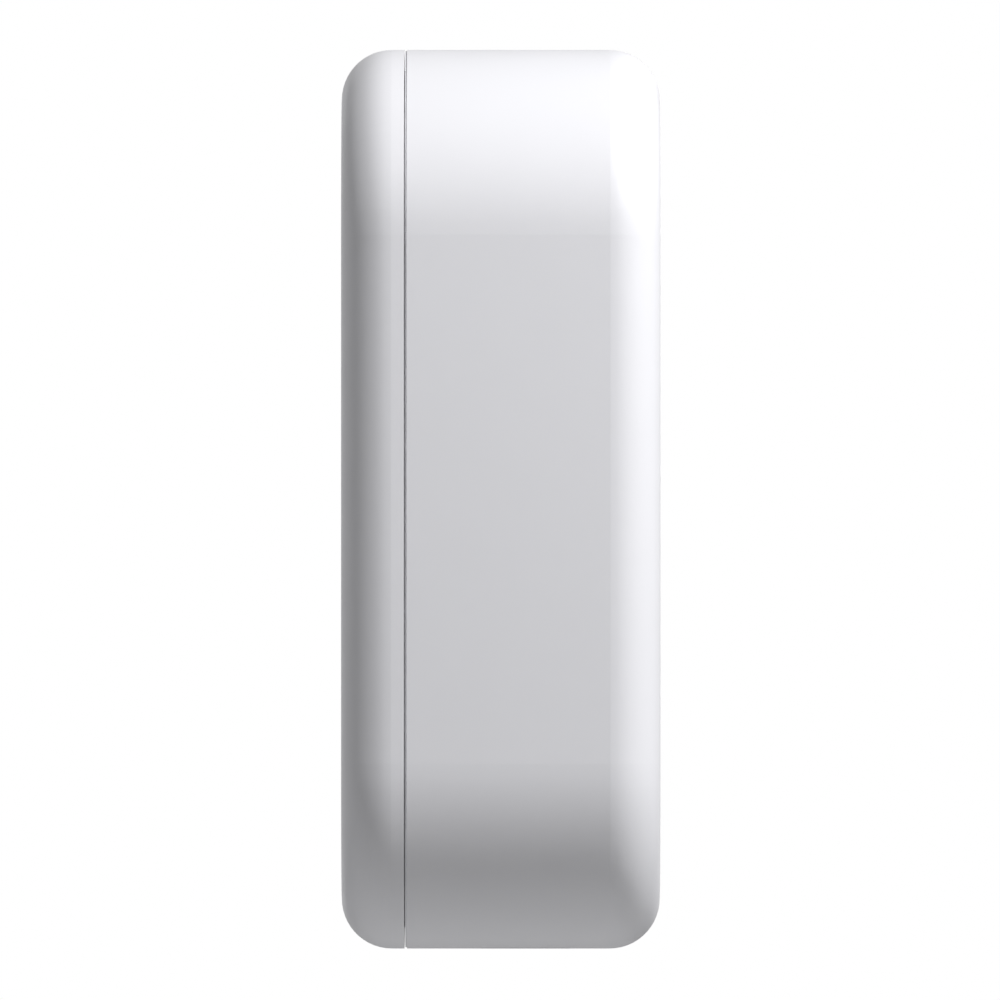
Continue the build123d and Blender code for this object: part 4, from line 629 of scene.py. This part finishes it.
screws("camera_holder_screws", "camera_screws", CAMERA_HEAD, 1.0, 0.7, 2.5, seat=29.9, axis=TO_FRONT,
       places=[(x, lens_height / MM)
               for x in (camera_low.x / MM + CAMERA_HEAD, camera_high.x / MM - CAMERA_HEAD)])
CHARGER_HEAD = 1.7
charger_low, charger_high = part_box("charging_screws")
screws("charging_board_screws", "charging_screws", CHARGER_HEAD, 0.8, 0.8, 6.0, seat=19.4, axis=TO_WALL,
       places=[(x, charger_high.z / MM - CHARGER_HEAD)
               for x in (charger_low.x / MM + CHARGER_HEAD, charger_high.x / MM - CHARGER_HEAD)])

MAGNET_FACE = 9.9
MAGNET_ROWS = (8.0, -34.0)
MAGNET_COLUMNS = (-8.5, 8.5)
magnets = []
for x in MAGNET_COLUMNS:
    for z in MAGNET_ROWS:
        magnets.append(turned(f"magnet_{len(magnets) + 1}", Vector((x, 0.0, z)) * MM, TO_FRONT,
                              [(0, 6.9), (3.8, 6.9), (4.0, 7.1), (4.0, 9.7), (3.94, 9.84),
                               (3.8, MAGNET_FACE), (0, MAGNET_FACE)], sides=72))
# The small one is for the tamper sensor
magnets.append(turned("magnet_5", Vector((9.0, 0.0, 28.0)) * MM, TO_FRONT,
                      [(0, 7.9), (1.85, 7.9), (2.0, 8.05), (2.0, 9.75), (1.85, MAGNET_FACE),
                       (0, MAGNET_FACE)], sides=48))
dress(joined("plate_magnet_set", magnets), "magnet_nickel", "wall_plate", "plate_magnets")

plates = []
for z in MAGNET_ROWS:
    plate = slab(f"strike_plate_{len(plates) + 1}", Vector((-12.9, -11.0, z - 4.4)) * MM,
                 Vector((12.9, -10.0, z + 4.4)) * MM, corner=0.8, edge=0.12)
    sink_panel(plate, lambda c, n: n.y > 0.99, border=0.6, depth=-0.08, direction=TO_WALL)
    plates.append(plate)
dress(joined("strike_plate_pair", plates), "strike_steel", "unit", "strike_plates")

# ---------------------------------------------------------------- charging port and setup button
usb_z = middle_of("usb_cover").z / MM
usb_parts = [
    slab("usb_cover_flange", Vector((-7.7, -11.1, usb_z - 3.7)) * MM,
         Vector((7.7, -10.1, usb_z + 3.7)) * MM, corner=1.76, edge=0.22, steps=10),
    slab("usb_cover_plug", Vector((-3.9, -13.2, usb_z - 1.0)) * MM,
         Vector((3.9, -11.0, usb_z + 1.0)) * MM, corner=0.9, edge=0.15),
    slab("usb_cover_tab", Vector((-3.5, -10.2, usb_z - 0.6)) * MM,
         Vector((3.5, -9.3, usb_z + 0.6)) * MM, corner=0.54, edge=0.2),
]
dress(joined("usb_cover_moulded", usb_parts), "plug_silicone", "usb_cover", "usb_cover")

CONTACTS_PER_ROW = 12
CONTACT_PITCH = 0.5
contacts = []
for z in (usb_z - 0.36, usb_z + 0.36):
    for i in range(CONTACTS_PER_ROW):
        x = (i - (CONTACTS_PER_ROW - 1) / 2) * CONTACT_PITCH
        contacts.append(slab(f"usb_contact_{len(contacts) + 1}", Vector((x - 0.13, -17.2, z - 0.03)) * MM,
                             Vector((x + 0.13, -14.1, z + 0.03)) * MM, corner=0.04, edge=0.01, steps=1))
dress(joined("usb_contact_strips", contacts), "contact_gold", "unit")

pair_centre = middle_of("pair_button") * Vector((1.0, 0.0, 1.0))
pair = turned("pair_button_cap", pair_centre, TO_FRONT,
              [(0, 10.22), (1.6, 10.18), (2.3, 10.1), (2.62, 10.14), (2.8, 10.35), (2.8, 12.1), (3.75, 12.1),
               (3.8, 12.2), (3.8, 12.65), (3.7, 12.7), (0, 12.7)], sides=72, angle=40)
dress(pair, "button_white", "pair_button", "pair_button")

# ---------------------------------------------------------------- bell button
# The cap's edge turns a little past flat, to meet the slope of the dish in its face
CAP_RADIUS = 11.6
CAP_EDGE = 0.5
CAP_DISH = 0.5
CAP_FLANGE_FRONT = 35.2
CAP_HOLLOW_RADIUS = 10.0
CAP_CEILING = 35.9
CAP_POST_RADIUS = 2.0
CAP_POST_BACK = 34.6
CAP_EDGE_STEPS = 7
CAP_EDGE_TURN = 94
cap_low, cap_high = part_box("button_cap")
cap_centre = Vector((0.0, 0.0, middle_of("button_cap").z))
cap_back = -cap_high.y / MM
cap_edge_centre = -cap_low.y / MM - CAP_EDGE
cap_flange = (cap_high.x - cap_low.x) / 2 / MM
cap_profile = [(0.0, CAP_POST_BACK), (CAP_POST_RADIUS, CAP_POST_BACK), (CAP_POST_RADIUS, CAP_CEILING),
               (CAP_HOLLOW_RADIUS, CAP_CEILING), (CAP_HOLLOW_RADIUS, cap_back), (cap_flange, cap_back),
               (cap_flange, CAP_FLANGE_FRONT), (CAP_RADIUS, CAP_FLANGE_FRONT)]
for step in range(CAP_EDGE_STEPS + 1):
    turn = math.radians(CAP_EDGE_TURN) * step / CAP_EDGE_STEPS
    cap_profile.append((CAP_RADIUS - CAP_EDGE + CAP_EDGE * math.cos(turn),
                        cap_edge_centre + CAP_EDGE * math.sin(turn)))
dish_radius, dish_rise = cap_profile[-1]
for share in (0.96, 0.9, 0.8, 0.68, 0.55, 0.42, 0.3, 0.2, 0.11, 0.05, 0.0):
    cap_profile.append((dish_radius * share, dish_rise - CAP_DISH * (1.0 - share ** 2)))
bell_cap = turned("bell_button_cap", cap_centre, TO_FRONT, cap_profile, sides=128)
dress(bell_cap, "button_white", "button", "button_cap")

# ---------------------------------------------------------------- bell button's spring
SPRING_WIRE = 0.4
SPRING_TURNS = 3.5
SPRING_STEPS = 200
SPRING_CLEARANCE = 0.02
spring_low, spring_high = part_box("button_spring")
spring_centre = middle_of("button_spring")
spring_length = spring_high.y - spring_low.y - (SPRING_WIRE + 2 * SPRING_CLEARANCE) * MM
coil_radius = (spring_high.x - spring_low.x) / 2 - SPRING_WIRE * MM / 2
bpy.ops.object.select_all(action="DESELECT")
bpy.ops.mesh.primitive_circle_add(vertices=14, radius=SPRING_WIRE / 2 * MM, location=(0.0, 0.0, 0.0))
spring = bpy.context.object
spring.name = "button_return_spring"
edit(spring)
bpy.ops.mesh.select_all(action="SELECT")
bpy.ops.transform.translate(value=(coil_radius, 0.0, 0.0))
bpy.ops.object.mode_set(mode="OBJECT")
winding = spring.modifiers.new("winding", "SCREW")
winding.axis = "Y"
winding.angle = 2 * math.pi * SPRING_TURNS
winding.screw_offset = spring_length
winding.steps = winding.render_steps = SPRING_STEPS
bpy.ops.object.modifier_apply(modifier="winding")
edit(spring)
bpy.ops.mesh.select_all(action="SELECT")
bpy.ops.transform.translate(
    value=(spring_centre.x, spring_low.y + (SPRING_WIRE / 2 + SPRING_CLEARANCE) * MM, spring_centre.z))
bpy.ops.mesh.fill_holes(sides=0)
close_up(spring, 50)
dress(spring, "screw_steel", "unit", "button_spring")
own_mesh(spring)

# ---------------------------------------------------------------- sound
def woven(name, lowest, highest, pitch, wire, wanted=None):
    """A woven mesh: a grid with this pitch and wire thickness in millimetres."""
    size = highest - lowest
    flat_axis = min(range(3), key=lambda k: size[k])
    across = [size[k] for k in range(3) if k != flat_axis]
    cells = [max(1, round(length / (pitch * MM))) for length in across]
    bpy.ops.object.select_all(action="DESELECT")
    turn = (0.0, 0.0, 0.0) if flat_axis == 2 else (math.radians(90), 0.0, 0.0)
    bpy.ops.mesh.primitive_grid_add(
        x_subdivisions=cells[0], y_subdivisions=cells[1], size=1.0,
        location=(lowest + highest) / 2, rotation=turn)
    piece = bpy.context.object
    piece.name = name
    piece.scale = (across[0] - wire * MM, across[1] - wire * MM, 1.0)
    bpy.ops.object.transform_apply(location=True, rotation=True, scale=True)
    edit(piece)
    if wanted:
        choose_faces(piece, lambda c, n: not wanted(c))
        bpy.ops.mesh.delete(type="FACE")
    bpy.ops.object.mode_set(mode="OBJECT")
    wires = piece.modifiers.new("wires", "WIREFRAME")
    wires.thickness = wire * MM
    wires.use_even_offset = False
    wires.use_boundary = True
    bpy.ops.object.modifier_apply(modifier="wires")
    edit(piece)
    bpy.ops.mesh.select_all(action="SELECT")
    bpy.ops.mesh.normals_make_consistent(inside=False)
    bpy.ops.object.mode_set(mode="OBJECT")
    bpy.ops.object.shade_smooth_by_angle(angle=math.radians(40))
    return piece


mesh_low, mesh_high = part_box("speaker_mesh")
dress(woven("speaker_woven_mesh", mesh_low, mesh_high, 0.4, 0.16), "acoustic_mesh", "unit", "speaker_mesh")
mic_low, mic_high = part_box("mic_mesh")
mic_centre = middle_of("mic_mesh")
mic_radius = (mic_high.x - mic_low.x) / 2
dress(woven("microphone_woven_mesh", mic_low, mic_high, 0.25, 0.1,
            lambda c: (c - mic_centre).length < mic_radius * 0.97), "acoustic_mesh", "unit", "mic_mesh")

cone_low, cone_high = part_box("speaker_cone")
cone = slab("speaker_cone_pressed", cone_low, Vector((cone_high.x, cone_high.y, cone_low.z + 0.4 * MM)),
            corner=2.35, edge=0.05, axis=2, steps=10)
cone_middle = Vector((0.0, (cone_low.y + cone_high.y) / 2, cone_low.z))
# The cone is pressed from its rim inwards: a rolled surround, then the dish and the dome
for share, push in ((0.93, 0.02), (0.97, 0.1), (0.95, 0.08), (0.95, 0.0), (0.95, -0.08), (0.97, -0.1),
                    (0.9, 0.0), (0.85, 0.1), (0.7, 0.12), (0.55, -0.08), (0.6, -0.08)):
    edit(cone)
    choose_faces(cone, lambda c, n: n.z < -0.9 and (c - cone_middle).xy.length < 0.5 * MM)
    bpy.ops.mesh.extrude_region_move(TRANSFORM_OT_translate={"value": (0.0, 0.0, push * MM)})
    bpy.ops.transform.resize(value=(share, share, 1.0), center_override=cone_middle)
    close_up(cone, 60)
coil_centre = Vector((0.0, cone_middle.y, 0.0))
coil = turned("voice_coil", coil_centre, UPWARDS,
              [(2.7, -46.95), (3.0, -46.95), (3.0, -46.8)]
              + [(r, -46.7 + 0.1 * i) for i in range(10) for r in (3.0, 2.96)]
              + [(3.0, -45.6), (2.7, -45.6)], ring=True, sides=72)
dress(joined("speaker_cone_and_coil", [cone, coil]), "cone_film", "speaker_cone", "speaker_cone")

# ---------------------------------------------------------------- battery
cell_low, cell_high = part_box("battery_cell")
cell_centre = Vector(((cell_low.x + cell_high.x) / 2, (cell_low.y + cell_high.y) / 2, cell_low.z))
CELL_RADIUS = 9.2
top = (cell_high.z - cell_low.z) / MM
sleeve = turned("battery_sleeve", cell_centre, UPWARDS,
                [(7.8, 0.12), (7.9, 0.02), (8.5, 0.0), (8.95, 0.12), (9.15, 0.35), (CELL_RADIUS, 0.7),
                 (CELL_RADIUS, top - 5.0), (9.12, top - 4.6), (8.8, top - 4.2),
                 (8.75, top - 3.9), (8.85, top - 3.5), (9.12, top - 3.1),
                 (CELL_RADIUS, top - 2.7), (CELL_RADIUS, top - 0.7),
                 (9.12, top - 0.3), (8.8, top - 0.05), (8.2, top - 0.02),
                 (7.2, top - 0.06), (7.1, top - 0.2), (7.4, top - 0.5),
                 (7.4, 0.5)], ring=True, sides=96, angle=35)
dress(sleeve, "cell_wrap", "unit", "battery_cell")
can_ends = [
    turned("battery_base", cell_centre, UPWARDS,
           [(0, 0.1), (5.0, 0.1), (5.3, 0.2), (7.4, 0.2), (7.6, 0.3), (7.4, 0.45), (0, 0.45)]),
    turned("battery_cap", cell_centre, UPWARDS,
           [(0, top - 0.9), (7.0, top - 0.9), (7.0, top - 0.6), (3.9, top - 0.6),
            (3.5, top - 0.4), (3.2, top - 0.05), (2.9, top), (0, top)]),
]
dress(joined("battery_terminals", can_ends), "strike_steel", "unit")

# ---------------------------------------------------------------- parts on the boards
BOARD_FRONT = -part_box("main_board")[0].y / MM


def small_part(name, upright):
    """A ceramic part, 1.6 by 0.8 mm and 0.5 mm high, on the main board's front."""
    half_x, half_z = (0.4, 0.8) if upright else (0.8, 0.4)
    return slab(name, Vector((-half_x, -BOARD_FRONT - 0.5, -half_z)) * MM,
                Vector((half_x, -BOARD_FRONT, half_z)) * MM, corner=0.06, edge=0.05, steps=2)


lying = small_part("resistor", upright=False)
standing = small_part("capacitor", upright=True)
small_parts = []
for model, columns, rows in ((standing, (10.2, 11.8), (9.0, 11.4, 13.8, 18.6)),
                             (lying, (9.4, 11.8), (-9.8, -8.2, -6.6, -5.0)),
                             (lying, (4.0, 6.4, 8.8), (-16.1,))):
    for x in [-column for column in columns] + list(columns):
        for z in rows:
            small_parts.append(copied(model, f"part_{len(small_parts) + 1}", Vector((x, 0.0, z)) * MM))
for model in (lying, standing):
    bpy.data.objects.remove(model)
dress(joined("main_board_parts", small_parts), "connector_nylon", "unit")


# ---------------------------------------------------------------- chips, cans and connectors
def solid_boxes(cad_node):
    """Lowest and highest corner of each separate solid of a CAD node."""
    mesh = bmesh.new()
    mesh.from_mesh(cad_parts[cad_node].data)
    bmesh.ops.remove_doubles(mesh, verts=mesh.verts, dist=HAIR)
    waiting = set(mesh.verts)
    boxes = []
    while waiting:
        reached = [waiting.pop()]
        for point in reached:
            for edge in point.link_edges:
                neighbour = edge.other_vert(point)
                if neighbour in waiting:
                    waiting.remove(neighbour)
                    reached.append(neighbour)
        boxes.append([Vector([end(p.co[k] for p in reached) for k in range(3)]) for end in (min, max)])
    mesh.free()
    return sorted(boxes, key=lambda box: tuple(round(part, 6) for part in box[0]))


def blocks(cad_node, slot_name, corner, edge, border, sink, outward):
    """Replaces a CAD node of plain blocks with moulded ones. The face that looks outward has a
    panel inside the border, sunk by sink. All in millimetres."""
    axis = max(range(3), key=lambda k: abs(outward[k]))
    made = []
    for lowest, highest in solid_boxes(cad_node):
        block = slab(f"{cad_node}_{len(made) + 1}", lowest, highest, corner, edge, axis=axis, steps=4)
        sink_panel(block, lambda c, n: n.dot(outward) > 0.99, border, -sink, outward)
        made.append(block)
    dress(joined(f"{cad_node}_moulded", made), slot_name, "unit", cad_node)


blocks("processor_shield", "shield_can", 0.8, 0.25, 0.6, 0.12, TO_FRONT)
blocks("wifi_module", "shield_can", 0.6, 0.2, 0.5, 0.1, TO_FRONT)
blocks("microphone", "shield_can", 0.35, 0.1, 0.25, 0.05, TO_FRONT)
blocks("light_sensor", "chip_black", 0.15, 0.06, 0.1, 0.08, TO_FRONT)
blocks("image_sensor", "chip_black", 0.2, 0.05, 0.15, 0.1, TO_FRONT)
blocks("tamper_sensor", "chip_black", 0.15, 0.05, 0.1, 0.04, TO_WALL)
blocks("ir_leds", "led_clear", 0.3, 0.12, 0.2, 0.15, TO_FRONT)
blocks("ring_leds", "led_clear", 0.2, 0.08, 0.12, 0.12, TO_FRONT)
blocks("battery_socket", "connector_nylon", 0.35, 0.12, 0.25, 0.5, -UPWARDS)
blocks("battery_plug", "connector_nylon", 0.3, 0.12, 0.2, 0.3, -UPWARDS)
blocks("board_connectors", "chip_black", 0.2, 0.08, 0.15, 0.3, TO_WALL)
blocks("flex_connectors", "connector_nylon", 0.15, 0.06, 0.1, 0.1, TO_WALL)
blocks("antenna", "polyimide", 0.5, 0.04, 0.4, 0.02, Vector((1.0, 0.0, 0.0)))


# ---------------------------------------------------------------- foam and rubber
def softened(name, cad_node, grid, passes):
    """A foam piece cut to a CAD node's shape, its cut edges softened. The grid is in millimetres."""
    piece = bpy.data.objects.new(name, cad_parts[cad_node].data.copy())
    bpy.context.scene.collection.objects.link(piece)
    bpy.ops.object.select_all(action="DESELECT")
    piece.select_set(True)
    bpy.context.view_layer.objects.active = piece
    bpy.ops.mesh.customdata_custom_splitnormals_clear()
    edit(piece)
    close_up(piece)
    cut = piece.modifiers.new("cut", "REMESH")
    cut.mode = "VOXEL"
    cut.voxel_size = grid * MM
    soft = piece.modifiers.new("soft", "SMOOTH")
    soft.factor = 0.5
    soft.iterations = passes
    for modifier in ("cut", "soft"):
        bpy.ops.object.modifier_apply(modifier=modifier)
    bpy.ops.object.shade_smooth()
    return piece


for foam_node in ("speaker_gasket", "battery_pads"):
    pad = softened(f"{foam_node}_foam", foam_node, 0.25, 2)
    dress(pad, "foam", "unit", foam_node)


def stretched(piece, centre, reach, sides):
    """Turns a ring about the depth axis into a capsule: its upper half goes up by reach, and its
    lower half down."""
    edit(piece)
    bpy.ops.mesh.select_all(action="SELECT")
    bpy.ops.transform.rotate(value=math.pi / sides, orient_axis="Y", center_override=centre)
    for side in (1, -1):
        mesh = bmesh.from_edit_mesh(piece.data)
        bpy.ops.mesh.select_mode(type="VERT")
        bpy.ops.mesh.select_all(action="DESELECT")
        for point in mesh.verts:
            point.select_set(0 < (point.co.z - centre.z) * side < reach * 0.9)
        bmesh.update_edit_mesh(piece.data)
        bpy.ops.transform.translate(value=(0.0, 0.0, side * reach))
    close_up(piece)


gasket_low, gasket_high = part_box("rear_gasket")
GASKET_WIDTH = 1.4
GASKET_SIDES = 128
gasket_outer = gasket_high.x / MM
gasket_inner = gasket_outer - GASKET_WIDTH
gasket_back = -gasket_high.y / MM
gasket_front = -gasket_low.y / MM
gasket_middle = Vector((0.0, 0.0, (gasket_low.z + gasket_high.z) / 2))
gasket_ring = turned("rear_gasket_bead", gasket_middle, TO_FRONT,
                     [(gasket_inner, gasket_back + 0.15), (gasket_inner + 0.2, gasket_back),
                      (gasket_outer - 0.2, gasket_back), (gasket_outer, gasket_back + 0.15),
                      (gasket_outer, gasket_front - 0.15), (gasket_outer - 0.2, gasket_front),
                      (gasket_inner + 0.2, gasket_front), (gasket_inner, gasket_front - 0.15)],
                     ring=True, sides=GASKET_SIDES)
stretched(gasket_ring, gasket_middle, gasket_high.z - gasket_outer * MM, GASKET_SIDES)
dress(gasket_ring, "gasket_rubber", "unit", "rear_gasket")

mic_gasket_ring = turned("mic_gasket_ring", Vector((0.0, 0.0, mic_centre.z)), TO_FRONT,
                         [(0.6, 33.5), (0.7, 33.4), (1.85, 33.4), (2.0, 33.55), (1.9, 33.8), (1.9, 34.7),
                          (2.0, 35.0), (1.85, 35.15), (0.7, 35.15), (0.6, 35.05)],
                         ring=True, sides=48, angle=40)
dress(mic_gasket_ring, "gasket_rubber", "unit", "mic_gasket")


# ---------------------------------------------------------------- camera
# The camera looks straight at the side, along +X, from far off, so the case hardly
# changes size between its near and far sides. It aims a little to the wall and down.
low, high = (Vector(corner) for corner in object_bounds())
middle = (low + high) / 2
FRAME_WIDTH = 0.11797
LENS = 1000.0
SENSOR = 36.0
AIM_SHIFT = 0.00009
camera_distance = FRAME_WIDTH * LENS / SENSOR

bpy.ops.object.camera_add(
    location=(-camera_distance, middle.y + AIM_SHIFT, middle.z - AIM_SHIFT),
    rotation=(math.radians(90), 0.0, math.radians(-90)))
camera = bpy.context.object
camera.name = "side_camera"
camera.data.lens = LENS
camera.data.sensor_width = SENSOR
camera.data.clip_end = 50.0
bpy.context.scene.camera = camera


# ---------------------------------------------------------------- light, surroundings and floor
# Two soft lamps, up and towards the front on the camera's side, and a third behind the far
# side, in a white room.
LAMP_DISTANCE = 0.56
LAMP_SIZE = 0.13
lamps = {
    "key_lamp": (Vector((-0.52, -0.50, 0.69)), 2.70),
    "front_lamp": (Vector((-0.30, -0.80, 0.52)), 1.32),
    "far_lamp": (Vector((0.92, 0.35, 0.12)), 1.10),
}
for lamp_name, (direction, power) in lamps.items():
    direction.normalize()
    bpy.ops.object.light_add(type="AREA", location=middle + direction * LAMP_DISTANCE)
    lamp = bpy.context.object
    lamp.name = lamp_name
    lamp.data.shape = "DISK"
    lamp.data.size = LAMP_SIZE
    lamp.data.energy = power
    lamp.rotation_euler = direction.to_track_quat("Z", "Y").to_euler()
    # The far lamp only fills: its glance off the rims would wipe out the outline
    lamp.visible_glossy = lamp_name != "far_lamp"

ROOM_SIDE = 0.42
ROOM_SIDE_SPOT = 0.10
ROOM_WALL = 0.42


def white_room():
    """The room. Seen directly it is plain white, and its light on the object is soft and
    comes from the far side and from the wall behind."""
    world = bpy.data.worlds.new("white room")
    bpy.context.scene.world = world
    world.use_nodes = True
    tree = world.node_tree
    tree.nodes.clear()
    direction = add_node(tree, "ShaderNodeTexCoord", {}).outputs["Generated"]
    parts = add_node(tree, "ShaderNodeSeparateXYZ", {"Vector": direction})
    side = add_node(tree, "ShaderNodeMath", {0: parts.outputs["X"], 1: 0.0}, operation="MAXIMUM")
    spot = add_node(tree, "ShaderNodeMath", {0: side.outputs["Value"], 1: 4.0}, operation="POWER")
    wall = add_node(tree, "ShaderNodeMath", {0: parts.outputs["Y"], 1: 0.0}, operation="MAXIMUM")
    light = 0.0
    for part, strength in ((side, ROOM_SIDE), (spot, ROOM_SIDE_SPOT), (wall, ROOM_WALL)):
        light = add_node(tree, "ShaderNodeMath", {0: part.outputs["Value"], 1: strength, 2: light},
                         operation="MULTIPLY_ADD").outputs["Value"]
    soft = add_node(tree, "ShaderNodeBackground", {"Color": linear("#FFFFFF"), "Strength": light})
    seen = add_node(tree, "ShaderNodeBackground", {"Color": linear("#FFFFFF"), "Strength": 1.0})
    ray = add_node(tree, "ShaderNodeLightPath", {})
    choice = add_node(tree, "ShaderNodeMixShader",
                      {0: ray.outputs["Is Camera Ray"], 1: soft.outputs["Background"],
                       2: seen.outputs["Background"]})
    add_node(tree, "ShaderNodeOutputWorld", {"Surface": choice.outputs["Shader"]})


white_room()
bpy.context.scene.view_settings.view_transform = "Standard"

FLOOR_DROP = 0.30
FLOOR_RADIUS = 2.0
FLOOR_GLOW = 0.9
# The floor glows to the camera only, and it is clear from below
bpy.ops.mesh.primitive_circle_add(
    vertices=96, radius=FLOOR_RADIUS, fill_type="NGON",
    location=(middle.x, middle.y, low.z - FLOOR_DROP))
floor = bpy.context.object
floor.name = "floor"
floor_paint, tree, shader, place = new_finish("matt white paint", "#DEDEDE", 0.8)
grain(tree, shader, place, 2.0, 0.02)
floor_glow = add_node(tree, "ShaderNodeEmission", {"Color": linear("#FFFFFF"), "Strength": FLOOR_GLOW})
floor_sum = add_node(tree, "ShaderNodeAddShader",
                     {0: shader.outputs["BSDF"], 1: floor_glow.outputs["Emission"]})
floor_ray = add_node(tree, "ShaderNodeLightPath", {})
floor_seen = add_node(tree, "ShaderNodeMixShader",
                      {0: floor_ray.outputs["Is Camera Ray"], 1: shader.outputs["BSDF"],
                       2: floor_sum.outputs["Shader"]})
floor_side = add_node(tree, "ShaderNodeNewGeometry", {})
floor_clear = add_node(tree, "ShaderNodeBsdfTransparent", {})
floor_one_sided = add_node(tree, "ShaderNodeMixShader",
                           {0: floor_side.outputs["Backfacing"], 1: floor_seen.outputs["Shader"],
                            2: floor_clear.outputs["BSDF"]})
tree.links.new(floor_one_sided.outputs["Shader"], tree.nodes["Material Output"].inputs["Surface"])
floor.data.materials.append(floor_paint)
floor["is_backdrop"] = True
